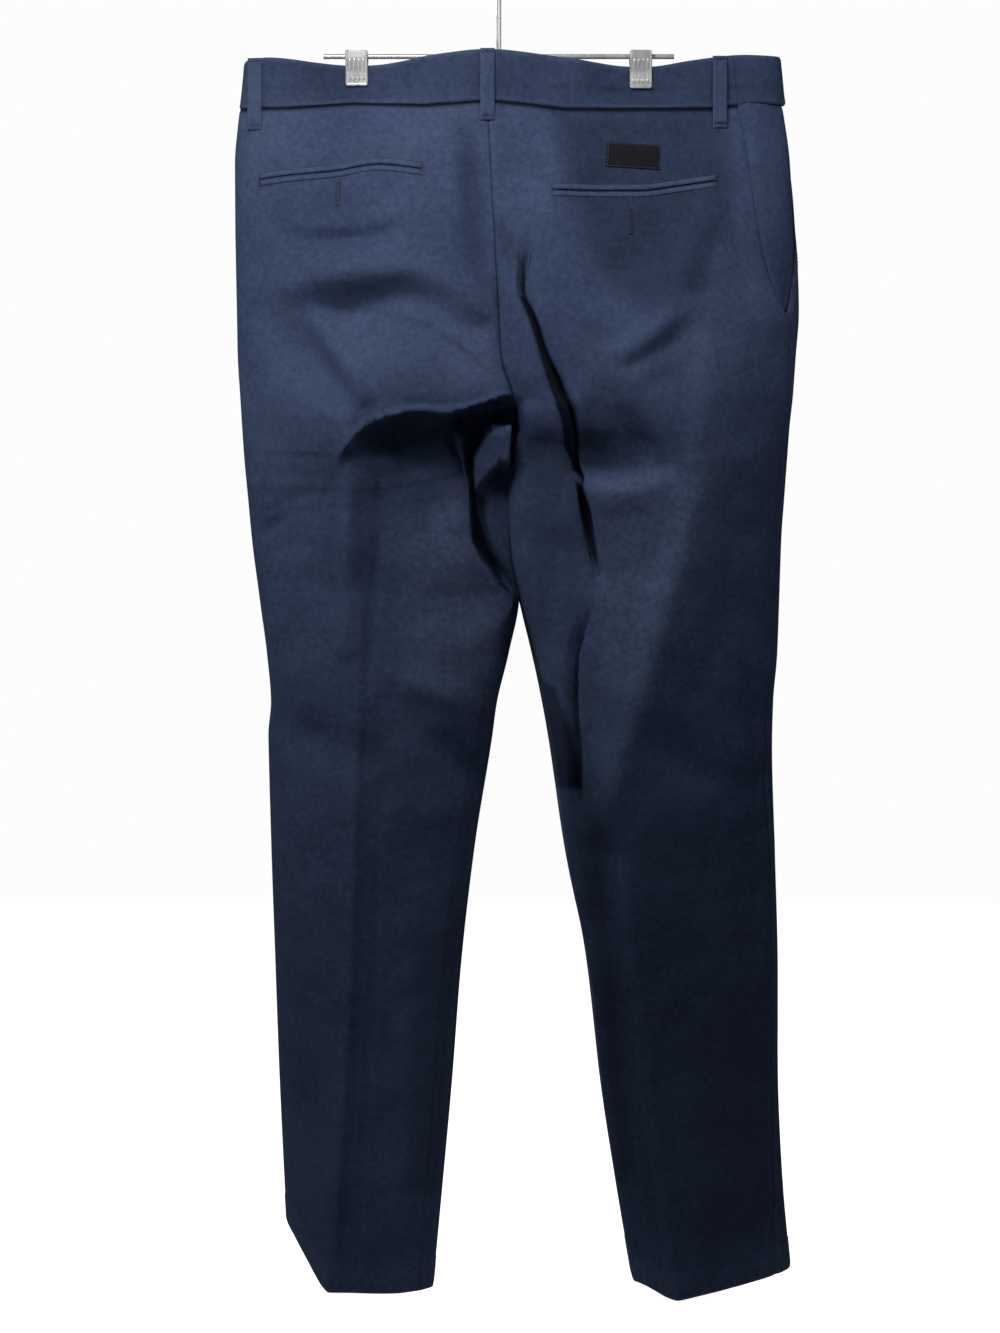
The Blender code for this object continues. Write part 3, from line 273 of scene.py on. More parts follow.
LEFT_FRONT = rows_of(Front, [
    (-153, 14, -112, 17, 1, -40, 27, 26),
    (-200, 18, -114, 34, 1, -40, 37, 35),
    (-260, 20, -114, 44, 0.8, -38, 46, 42),
    (-320, 26, -112, 52, 0.5, -30, 48, 40),
    (-355, 30, -111, 56, 0.4, -20, 46, 35),
    (-385, 32, -110, 58, 0.3, -6, 42, 26),
    (-415, 32, -109, 60, 0.25, 6, 38, 14),
    (-440, 32, -108, 61, 0.2, 11, 34, 0),
    (-505, 32, -108, 62, 0.2, 11.8, 32, 0),
    (-556, 32, -109, 63, 0.18, 15.6, 30, 0),
    (-640, 31, -110, 63, 0.15, -1.5, 30, -1),
    (-760, 30, -112, 64, 0.12, -20, 28, -5),
    (-960, 26, -114, 64, 0.1, -39.4, 20, -14),
    (-1114, 20, -108, 62, 0.09, -56, 12, -20),
])

RIGHT_FRONT = rows_of(Front, [
    (-153, 14, 112, 17, 1, 25, 27, 26),
    (-200, 18, 116, 34, 1, 25, 37, 35),
    (-260, 20, 118, 44, 0.8, 28, 46, 42),
    (-320, 26, 120, 52, 0.5, 30, 48, 40),
    (-355, 30, 120, 56, 0.4, 26, 46, 35),
    (-385, 32, 121, 58, 0.3, 24, 42, 26),
    (-415, 32, 122, 60, 0.25, 17, 38, 14),
    (-440, 32, 122, 61, 0.2, 17, 34, 0),
    (-505, 32, 123, 62, 0.2, 22, 32, 0),
    (-556, 32, 124, 62, 0.18, 22, 30, 0),
    (-640, 30, 125, 62, 0.15, 35.5, 30, 0),
    (-760, 28, 130, 62, 0.12, 54.5, 30, 0),
    (-960, 26, 148, 62, 0.1, 85.5, 32, 5),
    (-1114, 24, 168, 60, 0.09, 112, 32, 10),
])

# Where the side seam runs: 1 is a quarter of the way across the back, 0 the outer
# edge, -1 a quarter of the way across the front. The garment hangs a little turned.
LEFT_SEAM = [Seam(-153, -0.45), Seam(-330, -0.4), Seam(-700, -0.3), Seam(-1114, -0.15)]
RIGHT_SEAM = [
    Seam(-153, 0.83), Seam(-246, 0.78), Seam(-312, 0.66), Seam(-334, 0.46), Seam(-430, 0.40),
    Seam(-600, 0.30), Seam(-1000, 0.36), Seam(-1114, 0.55)
]

# The slant pocket's mouth on the same scale; it ends on the side seam
LEFT_MOUTH = [Seam(-153, -0.86), Seam(-255, -0.74), Seam(-300, -0.56), Seam(-322, -0.4)]
RIGHT_MOUTH = [Seam(-153, -0.35), Seam(-252, 0.0), Seam(-322, 0.56)]

# Creases seen from behind, each with its depth or rise at every point of its route.
# A trough sinks the cloth along the route (a negative depth raises it), with a lip beside
# it, on the route's right-hand side where the lip is positive. A ledge raises the cloth on
# the route's left-hand side and lowers it on the right, sharply at the route itself.
Trough = namedtuple("Trough", "width lip route")
Ledge = namedtuple("Ledge", "sharp above below route")
Mound = namedtuple("Mound", "x z half_x half_z turn height")

# A small flat fold: how soft its outline is, and its corners, each with the cloth's y there
Facet = namedtuple("Facet", "soft corners")
# A patch of painted shade, or of painted light where its depth is negative: how wide its
# edge is, how dark it is, and its corners
Shade = namedtuple("Shade", "soft depth corners")


def strip_beside(line, width):
    """The corners of a strip between a line and the same line moved towards +X."""
    return [*line, *((x + width, z) for x, z in reversed(line))]


LEFT_CREASES = [
    Ledge(1, 9, 9, [(-130, -158, 1.2), (-129, -180, 1), (-129, -204, 0)]),
    Trough(5.5, -2, [(-163, -261, 1), (-140, -263, 5), (-112, -262, 5), (-80, -256, 1)]),
    Trough(3.5, 0, [(-146.2, -268, 0.8), (-107.2, -270, 1.4), (-78, -266, 0.4)]),
    Ledge(11, 24, 34, [(-181.8, -308, 3), (-158.6, -307, 18), (-127.6, -304, 30), (-94.8, -300, 30),
        (-63.8, -300, 24), (-38.7, -312, 18), (-13.5, -332, 10), (0, -347, 3)]),
    Trough(8, 0, [(-145, -320, 1), (-121.8, -322, 3), (-96.7, -316, 1)]),
    Ledge(1.8, 14, 9, [(-99.6, -317, 0.5), (-69.6, -326, 4), (-52.2, -334, 4), (-25.1, -352, 3.6),
        (0, -373, 2)]),
    Trough(15, 0, [(-189.5, -322, 3), (-166.3, -344, 11), (-141.2, -370, 11), (-114.1, -398, 3)]),
    Trough(10, 0, [(-164.4, -302, -2), (-135.4, -340, -6), (-108.3, -386, -5)]),
    Ledge(3, 2.5, 44, [(-129.6, -444, 2), (-121.8, -432, 14), (-103.5, -411, 34), (-70.6, -401, 46),
        (-38.7, -400, 52), (-14.5, -394, 52), (7.7, -388, 44), (15.5, -387, 36)]),
    Trough(9, 0, [(-120, -388, -2), (-117, -430, -9), (-118, -500, -8), (-124, -590, -4)]),
    Trough(7, 0, [(-101, -455, 1), (-100, -520, 4), (-106, -620, 1)]),
    Trough(11, 0, [(-19, -168, 1), (-16.6, -220, 5), (-12.6, -282, 2)]),
    Trough(10, 0, [(-38, -172, -1), (-35.1, -230, -2.5), (-35.1, -270, -0.8)]),
    Trough(7, 0, [(-7.7, -320, 1), (-9.7, -332, 4), (-23.2, -326, 1)]),
    Trough(18, 0, [(-189.5, -655, 2), (-145, -668, 6), (-96.7, -690, 0.5)]),
    Trough(12, 0, [(-83.2, -612, -2), (-48.4, -626, -4.5), (-20.3, -641, -2)]),
    Trough(12, 1.5, [(-58, -655, 1), (-29, -690, 5.5), (-19.3, -722, 1)]),
    Trough(5, 0, [(-164.4, -478, 0.4), (-183.7, -492, 2.4), (-197.3, -500, 0.6)]),
    Trough(4, 0, [(-145, -465, 0.3), (-166.3, -470, 1.8), (-185.7, -480, 0.3)]),
    Trough(14, 0, [(-89, -470, 0.5), (-58, -476, 2), (-29, -470, 0.5)]),
    Trough(4.5, 0, [(-18, -462, 1), (-17, -480, 8), (-14.5, -500, 12), (-9, -517, 13), (0, -532, 8),
        (4, -540, 1)]),
]
LEFT_MOUNDS = [
    Mound(-61.9, -358, 44, 26, math.radians(-20), 4),
    Mound(-140.2, -420, 18, 34, math.radians(10), 3),
]
LEFT_FACETS = [
    Facet(1.8, [(-6, -411, -82), (-20, -436, -67), (-19, -465, -63), (-3, -447, -75), (2, -442, -79),
        (14, -443, -89), (18, -423, -92), (13, -411, -90)]),
]

# The left leg's crease from seat to hem, and the strips of painted shade that lie along it
LEFT_CREASE_LINE = [(-99.6, -446), (-106.8, -550), (-113.9, -628), (-118.7, -790), (-121.9, -870),
    (-127.4, -958), (-137, -1097)]
CREASE_SHADE_STRIPS = [(7.2, 1.8, 0.16), (20.7, 4, 0.13), (47.7, 6, 0.08)]
# Patches of painted shade and painted light on the left leg's back
LEFT_SHADES = [
    Shade(1, 1.2, [(-22.5, -446), (-22.5, -503), (0.6, -540), (12.5, -550), (6.9, -542), (-8.2, -510),
        (-16.9, -482), (-19.3, -454)]),
    Shade(5, 0.25, [(-119.5, -453), (-101.2, -448), (-108.4, -582), (-114.7, -630), (-121.9, -630),
        (-122.7, -518)]),
    Shade(9, 0.32, [(-38.4, -168), (-17.7, -166), (-11.4, -230), (-9, -302), (-20.9, -302),
        (-32.8, -230)]),
    Shade(16, -0.75, [(-84.5, -506), (-34.4, -462), (-24.1, -506), (1.4, -558), (10.9, -582),
        (-6.6, -630), (-78.1, -622)]),
    Shade(9, -0.5, [(-46.3, -330), (-8.2, -334), (1.4, -378), (-38.4, -387)]),
    Shade(9, 0.4, [(-68.6, -838), (-22.5, -806), (-33.6, -902), (-44.8, -1022), (-54.3, -1062),
        (-79.7, -1046), (-75, -934)]),
]
LEFT_SHADES += [
    Shade(soft, depth, strip_beside(LEFT_CREASE_LINE, width)) for width, soft, depth in CREASE_SHADE_STRIPS
]

RIGHT_CREASES = [
    Ledge(1, 9, 9, [(114, -158, 1.2), (113, -185, 1), (109.2, -220, 0)]),
    Trough(9, 0, [(36, -215, -1), (46, -262, -4), (62, -302, -4), (80, -332, -2)]),
    Trough(13, 0, [(172, -232, -2), (150, -285, -6), (126, -332, -6), (106, -372, -3)]),
    Trough(20, 0, [(64, -262, 1), (92, -284, 4), (122, -262, 3)]),
    Trough(3, 0, [(81.2, -286, 0.3), (100.6, -288, 1), (119.9, -286, 0.3)]),
    Trough(6.5, 3, [(157.6, -330, 0.6), (143.1, -340, 2), (121.8, -354, 3.6), (103.5, -365, 4.2),
        (97.7, -367, 1)]),
    Trough(13, 3, [(73.5, -378, 1), (92.8, -402, 6), (112.2, -426, 9), (123.8, -440, 4)]),
    Ledge(5, 26, 44, [(132, -448, 3), (109, -455, 14), (87, -455, 17), (63.8, -451, 10)]),
    Trough(4, 0, [(60, -450, 1), (67.7, -471, 7), (72.5, -493, 6), (76.9, -515, 4), (81.2, -530, 1)]),
    Trough(13, 0, [(166, -322, -2), (159, -420, -4), (151, -490, -5), (135, -556, -5), (110, -648, -5),
        (79, -739, -3)]),
    Trough(20, 0, [(96.7, -640, 0.5), (154.7, -682, 5), (205, -712, 3)]),
    Trough(6, 0, [(42.5, -500, 0.6), (39.6, -580, 2.4), (48.4, -640, 0.5)]),
    Trough(8, 0, [(199.2, -560, 0.5), (208.9, -640, 3), (218.5, -700, 3), (214.7, -712, 1)]),
    Trough(9, 0, [(36, -170, -0.8), (70, -195, -2), (44.9, -216, -0.8)]),
    Trough(7, 0, [(18, -200, 0.8), (29.2, -216, 2.4), (42.9, -228, 0.8)]),
    Trough(9, 0, [(176, -210, 0.8), (191.1, -252, 2.6), (199.2, -306, 0.8)]),
    Trough(8, 0, [(15.6, -252, 0.6), (23.2, -280, 2), (19.3, -300, 0.6)]),
]
RIGHT_MOUNDS = [
    Mound(123.8, -395, 30, 34, 0, 3),
    Mound(96.7, -345, 36, 36, 0, 3),
]
# Patches of painted shade and painted light on the right leg's back
RIGHT_SHADES = [
    Shade(1.2, 1.3, [(16.5, -309), (24.4, -329), (31.6, -352), (37.9, -374), (43.5, -390), (49.1, -409),
        (51.4, -427), (57, -438), (60.2, -449), (64.2, -448), (63.4, -438), (63.4, -427), (62.6, -409),
        (56.2, -390), (49.8, -374), (38.7, -352), (31.6, -329), (21.2, -310)]),
    Shade(1, 1.2, [(61, -456), (63.4, -471), (68.9, -493), (75.3, -515), (81.6, -530), (79.3, -515),
        (76.1, -493), (72.1, -471), (63.4, -454)]),
    Shade(8, 0.5, [(65, -384), (79.3, -389), (95.2, -405), (114.2, -430), (112.7, -444), (87.2, -445),
        (66.5, -443)]),
    Shade(16, 0.6, [(39.5, -157), (182.6, -157), (189, -222), (163.5, -298), (120.6, -325),
        (72.9, -294)]),
    Shade(9, 0.35, [(55.4, -654), (74.5, -654), (98.3, -870), (112.7, -1030), (99.9, -1038),
        (83.2, -894), (63.4, -750)]),
    Shade(5, 0.4, [(-6.6, -250), (2.9, -242), (20.4, -280), (28.4, -325), (18.8, -310), (5.3, -285)]),
    Shade(16, -0.85, [(80.9, -456), (112.7, -451), (160.4, -422), (182.6, -422), (177.8, -486),
        (152.4, -582), (124.6, -630), (80.9, -622), (78.5, -550)]),
    Shade(14, -0.5, [(152.4, -334), (190.6, -334), (184.2, -414), (152.4, -414)]),
    Shade(3.5, 0.8, [(31.6, -614), (45.9, -622), (57.8, -654), (65.7, -682), (68.1, -705), (47.5, -705),
        (39.5, -678)]),
    Shade(45, 0.42, [(33.2, -734), (80.9, -702), (239.9, -702), (239.9, -1110), (80.9, -1110),
        (72.9, -950)]),
]

# Each leg's tables, the last being the seed of its ripple
LEFT_LEG = Leg(LEFT_OUTLINE, LEFT_BACK, LEFT_FRONT, LEFT_SEAM, LEFT_MOUTH, LEFT_CREASES + LEFT_MOUNDS,
    LEFT_FACETS, LEFT_SHADES, 3)
RIGHT_LEG = Leg(RIGHT_OUTLINE, RIGHT_BACK, RIGHT_FRONT, RIGHT_SEAM, RIGHT_MOUTH,
    RIGHT_CREASES + RIGHT_MOUNDS, [], RIGHT_SHADES, 5)

FRONT_CREASES = [
    Trough(10, 1.5, [(0, -330, 2), (-60, -352, 4), (-120, -362, 1)]),
    Trough(10, 1.5, [(14, -350, 2), (70, -372, 4.5), (130, -380, 1)]),
    Trough(7, 1, [(8, -372, 1), (-40, -392, 3), (-84, -424, 0.5)]),
    Trough(12, 0, [(10, -400, 1), (60, -440, 4), (100, -500, 1)]),
    Trough(12, 0, [(6, -396, 1), (-50, -430, 4), (-90, -490, 1)]),
    Trough(16, 0, [(-170, -660, 1), (-110, -682, 4), (-40, -668, 1)]),
    Trough(16, 0, [(60, -690, 1), (130, -706, 3.5), (205, -690, 1)]),
    Trough(7, 0, [(-150, -710, 0.5), (-108, -720, 1.6), (-60, -706, 0.5)]),
    Trough(7, 0, [(110, -735, 0.5), (150, -742, 1.6), (196, -730, 0.5)]),
]
BAND_CREASES = [
    Ledge(1.5, 6, 6, [(-205, -139, 0.5), (-120, -141, 0.8), (-20, -139, 0.5), (60, -142, 0.6),
        (220, -139, 0.5)]),
    Trough(5, 0, [(-100, -124, 0.3), (-84, -132, 1), (-70, -143, 0.2)]),
    Trough(5, 0, [(-131, -124, 0.3), (-146, -133, 0.9), (-158, -144, 0.2)]),
    Trough(5, 0, [(131, -124, 0.3), (147, -134, 1), (160, -146, 0.2)]),
    Trough(5, 0, [(99, -124, 0.3), (86, -133, 0.8), (70, -146, 0.2)]),
]

# The waistband's top edge, dipping where the clips pinch it
RIM_LINE = [
    (-207, -118), (-188, -116), (-150, -119.5), (-115, -121.5), (-78, -119), (-50, -115), (-9, -110.6),
    (45, -116.5), (78, -120), (115, -122.5), (155, -118.5), (200, -114), (227, -114.5)
]
RIM_INSET = 0.98
RIM_LEAN = 0.85
PINCH_HALF = 12.0
PINCH_FADE = 42.0
PINCHED = 3.2
PINCH_DEEP = 0.58

# The waist seam's own rise and fall about the first row
SEAM_LINE = [
    (-210, -155.5), (-164, -155), (-115, -152), (-60, -154.5), (-9, -150.4), (55, -157.2),
    (125, -156.2), (172, -155.6), (208, -151), (229, -152.2)
]

# Back pockets: the welts' top line, and each buttonhole's place
Pocket = namedtuple("Pocket", "side hole_x hole_top hole_end line")
POCKETS = [
    Pocket("left", -128.4, -217, -236,
        [(-193, -209.3), (-165, -206.5), (-130, -204), (-95, -199), (-61, -202.7)]),
    Pocket("right", 105.7, -240, -259,
        [(42, -219.6), (80, -220.3), (110, -220.2), (145, -215.6), (174.5, -211)]),
]

Clip = namedtuple("Clip", "side x bottom")
CLIPS = [Clip("left", -115.0, -138.0), Clip("right", 115.0, -140.0)]

Loop = namedtuple("Loop", "name x face")
LOOPS = [
    Loop("belt_loop_back_left", -197.0, "back"),
    Loop("belt_loop_back_centre", -9.0, "back"),
    Loop("belt_loop_back_right", 178.0, "back"),
    Loop("belt_loop_side_left", -185.0, "front"),
    Loop("belt_loop_front_left", -72.0, "front"),
    Loop("belt_loop_front_right", 74.0, "front"),
    Loop("belt_loop_side_right", 186.0, "front"),
]

# Cloth and thread colours
NAVY_DARK = (0.0225, 0.034, 0.072)
NAVY_LIGHT = (0.046, 0.066, 0.122)
# The faded colour serves real fading and painted light; the near-black one serves darker seams and painted
# shade
NAVY_FADED_AND_LIT = (0.068, 0.092, 0.160)
NAVY_SEAM_AND_SHADE = (0.002, 0.003, 0.007)
LINT = (0.16, 0.18, 0.22)
NAVY_THREAD = (0.022, 0.031, 0.068)
BLACK_THREAD = (0.02, 0.02, 0.024)
RIB_TURN = math.radians(-52)
RIB_SCALE = 330.0
YARN_SCALE = (2600.0, 420.0, 1.0)
SCRATCH_SCALE = (90.0, 1400.0, 1400.0)

# Studio
FLOOR_Z = -1.165
FLOOR_HALF = 1.6
LAMP_AIM = (0.0, -0.08, -0.40)
LAMP_SIZE = 0.24
# Each lamp's name and colour, then its distance, turn, height angle and power
LAMPS = [
    ("key_window", (1.0, 0.97, 0.93), (0.65, -22.0, 54.0, 3.9)),
    ("side_window", (0.95, 0.98, 1.0), (0.65, -75.0, 10.0, 1.7)),
    ("fill_window", (0.95, 0.98, 1.0), (0.65, 52.0, 36.0, 1.4)),
    ("far_window", (0.95, 0.98, 1.0), (1.2, 205.0, 30.0, 10.0)),
]
AMBIENT = 0.03
MIRRORED = 0.1
SENSOR = 36.0
LENS = 2290.0 / 1333.0 * SENSOR
CAMERA_PLACE = (0.001, -1.9, -0.395)
CAMERA_DIP = 6.5


def smooth(t):
    """0 below 0 and 1 above 1, with a smooth rise between."""
    t = np.clip(t, 0.0, 1.0)
    return t * t * (3.0 - 2.0 * t)


def bell(distance, width, power=2):
    """1 at no distance and falling away over the width; a high power gives a flat top."""
    return np.exp(-((distance / width) ** power))


def hand_of(side):
    """The side's sign along X, which also keeps both legs' normals outward."""
    return -1.0 if side == "left" else 1.0


def way_of(face):
    """The way out of the garment along Y."""
    return -1.0 if face == "back" else 1.0


def glide(places, values, at):
    """Cubic through the values that never overshoots them; places may run either way."""
    places = np.asarray(places, float)
    values = np.asarray(values, float)
    if places[0] > places[-1]:
        places = places[::-1]
        values = values[::-1]
    step = np.diff(places)
    slope = np.diff(values) / step
    same_way = slope[:-1] * slope[1:] > 0
    mean = 2.0 * slope[:-1] * slope[1:] / np.where(same_way, slope[:-1] + slope[1:], 1.0)
    lean = np.concatenate([slope[:1], np.where(same_way, mean, 0.0), slope[-1:]])
    at = np.clip(at, places[0], places[-1])
    cell = np.clip(np.searchsorted(places, at) - 1, 0, len(step) - 1)
    width = step[cell]
    t = (at - places[cell]) / width
    rise = values[cell] * (1 + 2 * t) * (1 - t) ** 2 + values[cell + 1] * t * t * (3 - 2 * t)
    return rise + width * (lean[cell] * t * (1 - t) ** 2 - lean[cell + 1] * t * t * (1 - t))


def table_at(table, heights):
    """The table's columns, read smoothly at each height."""
    places = [row.z for row in table]
    return type(table[0])(*(glide(places, column, heights) for column in zip(*table)))


def pair(x, y):
    return np.stack(np.broadcast_arrays(x, y), axis=-1)


def unit(vectors):
    return vectors / np.maximum(np.linalg.norm(vectors, axis=-1, keepdims=True), 1e-9)


def corner(before, tip, after, crisp, s):
    """A point at s of the way round a corner; crisp 1 is fully round and 0 is sharp."""
    crisp = np.broadcast_to(crisp, len(tip))[:, None]
    start = tip + (before - tip) * crisp
    end = tip + (after - tip) * crisp
    low = (1.0 - crisp) / 2.0
    t = np.clip((s - low) / np.maximum(crisp, 1e-6), 0.0, 1.0)
    bend = start * (1 - t) ** 2 + 2 * tip * t * (1 - t) + end * t * t
    into = before + (start - before) * np.clip(s / np.maximum(low, 1e-6), 0, 1)
    out = end + (after - end) * np.clip((s - 1 + low) / np.maximum(low, 1e-6), 0, 1)
    return np.where(s < low, into, np.where(s > 1 - low, out, bend))


def rounded(start, tips, crisps, counts):
    """Points round one corner after another, each corner ending midway to the next tip."""
    points = []
    for tip, after, crisp, count in zip(tips, tips[1:], crisps, counts):
        middle = (tip + after) / 2
        points += [corner(start, tip, middle, crisp, s) for s in steps(count)]
        start = middle
    return points


def smooth_route(route, share=6):
    """A crease's given points joined by a smooth line."""
    points = np.asarray(route, float)
    ends = np.vstack([2 * points[0] - points[1], points, 2 * points[-1] - points[-2]])
    line = []
    for a, b, c, d in zip(ends, ends[1:], ends[2:], ends[3:]):
        for t in np.arange(share) / share:
            bend = 2 * b + (c - a) * t + (2 * a - 5 * b + 4 * c - d) * t * t
            line.append(0.5 * (bend + (3 * b - a - 3 * c + d) * t**3))
    return np.vstack([line, points[-1:]])


def along_route(line, x, z):
    """How far each point lies to the route's right, how far past its ends, and its depth there."""
    best = np.full(x.shape, np.inf)
    across, past, depth = np.zeros((3, *x.shape))
    last = len(line) - 2
    for i, (start, end) in enumerate(zip(line[:-1], line[1:])):
        length = math.hypot(end[0] - start[0], end[1] - start[1])
        way = (end[:2] - start[:2]) / length
        run = (x - start[0]) * way[0] + (z - start[1]) * way[1]
        t = np.clip(run, 0, length)
        gap = np.hypot(x - start[0] - way[0] * t, z - start[1] - way[1] * t)
        right = (x - start[0]) * way[1] - (z - start[1]) * way[0]
        outside = np.zeros(x.shape)
        if i == 0:
            outside = np.maximum(-run, 0)
        if i == last:
            outside = np.maximum(run - length, 0)
        nearer = gap < best
        best = np.where(nearer, gap, best)
        across = np.where(nearer, np.where(outside > 0, right, np.sign(right) * gap), across)
        past = np.where(nearer, outside, past)
        depth = np.where(nearer, start[2] + (end[2] - start[2]) * t / length, depth)
    return across, past, depth


def mound_rise(mound, x, z):
    """How far a mound lifts the cloth: highest at its middle, oval, and turned."""
    cos, sin = math.cos(mound.turn), math.sin(mound.turn)
    dx = (x - mound.x) * cos + (z - mound.z) * sin
    dz = (z - mound.z) * cos - (x - mound.x) * sin
    return mound.height * np.exp(-((dx / mound.half_x) ** 2) - (dz / mound.half_z) ** 2)


def crease_relief(creases, x, z):
    """How far the creases move the cloth outwards at each point."""
    moved = np.zeros(x.shape)
    for crease in creases:
        if isinstance(crease, Mound):
            moved += mound_rise(crease, x, z)
            continue
        line = smooth_route(crease.route)
        trough = isinstance(crease, Trough)
        reach = CREASE_REACH * (crease.width if trough else max(crease.above, crease.below))
        low = line.min(0) - reach
        high = line.max(0) + reach
        near = (x > low[0]) & (x < high[0]) & (z > low[1]) & (z < high[1])
        across, past, depth = along_route(line, x[near], z[near])
        if trough:
            fade = bell(past, crease.width)
            relief = -depth * bell(across, crease.width)
            if crease.lip:
                apart = across - math.copysign(2.0 * crease.width, crease.lip)
                relief += abs(crease.lip) * bell(apart, 1.3 * crease.width) * (depth > 0)
        else:
            fade = bell(past, LEDGE_END)
            spread = np.where(across < 0, crease.above, crease.below)
            relief = -0.5 * depth * np.tanh(across / crease.sharp) * bell(across, spread)
        moved[near] += relief * fade
    return moved


def inside_by(corners, x, z):
    """How far each point lies inside an outline; outside it, the distance is negative."""
    gap = np.full(x.shape, np.inf)
    within = np.zeros(x.shape, bool)
    for (ax, az, *_), (bx, bz, *_) in zip(corners, corners[1:] + corners[:1]):
        along = ((x - ax) * (bx - ax) + (z - az) * (bz - az)) / ((bx - ax) ** 2 + (bz - az) ** 2)
        along = np.clip(along, 0, 1)
        gap = np.minimum(gap, np.hypot(x - ax - along * (bx - ax), z - az - along * (bz - az)))
        if az != bz:
            within ^= ((az > z) != (bz > z)) & (x < ax + (z - az) / (bz - az) * (bx - ax))
    return np.where(within, gap, -gap)


def share_of(patch, sheet):
    """How much of a patch each point of the sheet takes: 1 well inside it and 0 well outside."""
    return smooth(0.5 + 0.5 * inside_by(patch.corners, sheet[..., 0], sheet[..., 2]) / patch.soft)


def fold_flat(sheet, facets, to_back):
    """The sheet with its small flat folds brought to their own planes."""
    for facet in facets:
        spots = np.array(facet.corners, float)
        places = np.column_stack([spots[:, :2], np.ones(len(spots))])
        level = np.linalg.lstsq(places, spots[:, 2], rcond=None)[0]
        plane = sheet[..., 0] * level[0] + sheet[..., 2] * level[1] + level[2]
        sheet[..., 1] += (plane - sheet[..., 1]) * (share_of(facet, sheet) * to_back)
    return sheet


def painted_shade_and_light(sheet, shades):
    """How much painted shade darkens each point of the cloth; painted light makes it negative."""
    total = np.zeros(sheet.shape[:2])
    for shade in shades:
        total += shade.depth * share_of(shade, sheet)
    return total


def cloth_ripple(x, z, seed):
    """The cloth's faint unevenness, a sum of low waves in fixed random directions."""
    draw = np.random.default_rng(seed)
    moved = np.zeros(x.shape)
    for _ in range(RIPPLE_WAVES):
        length = draw.uniform(*RIPPLE_LENGTHS)
        angle = draw.uniform(0.0, math.pi)
        shift = draw.uniform(0.0, 2 * math.pi)
        wave = 2 * math.pi * (x * math.cos(angle) + z * math.sin(angle)) / length
        moved += RIPPLE_SHARE * length * np.sin(wave + shift)
    return moved


def row_heights():
    """Rows crowd together under the waist seam, and one of them is the fork's."""
    seat = np.linspace(SEAT_TOP, FORK, round((SEAT_TOP - FORK) / ROW_PITCH) + 1)
    legs = np.linspace(FORK, LEG_END, round((FORK - LEG_END) / ROW_PITCH) + 1)
    close = SEAT_TOP - np.array([0.7, 1.5, 2.4, 3.4, 4.5])
    return np.concatenate([seat[:1], close, seat[2:], legs[1:]])


def steps(count):
    """Even places up to 1, without the 0 that the run before them ends on."""
    return np.linspace(0.0, 1.0, count + 1)[1:]


def crowded(edge, start, count):
    """Places from 0 to 1: the ones given at the edge, even ones from start on, then as at first."""
    return np.concatenate([edge, np.linspace(start, 1 - start, count), 1 - np.array(edge)[::-1]])


def surface_normals(grid, hand):
    """Outward unit normals of a leg's grid."""
    return unit(np.cross(np.gradient(grid, axis=0), np.gradient(grid, axis=1)) * hand)


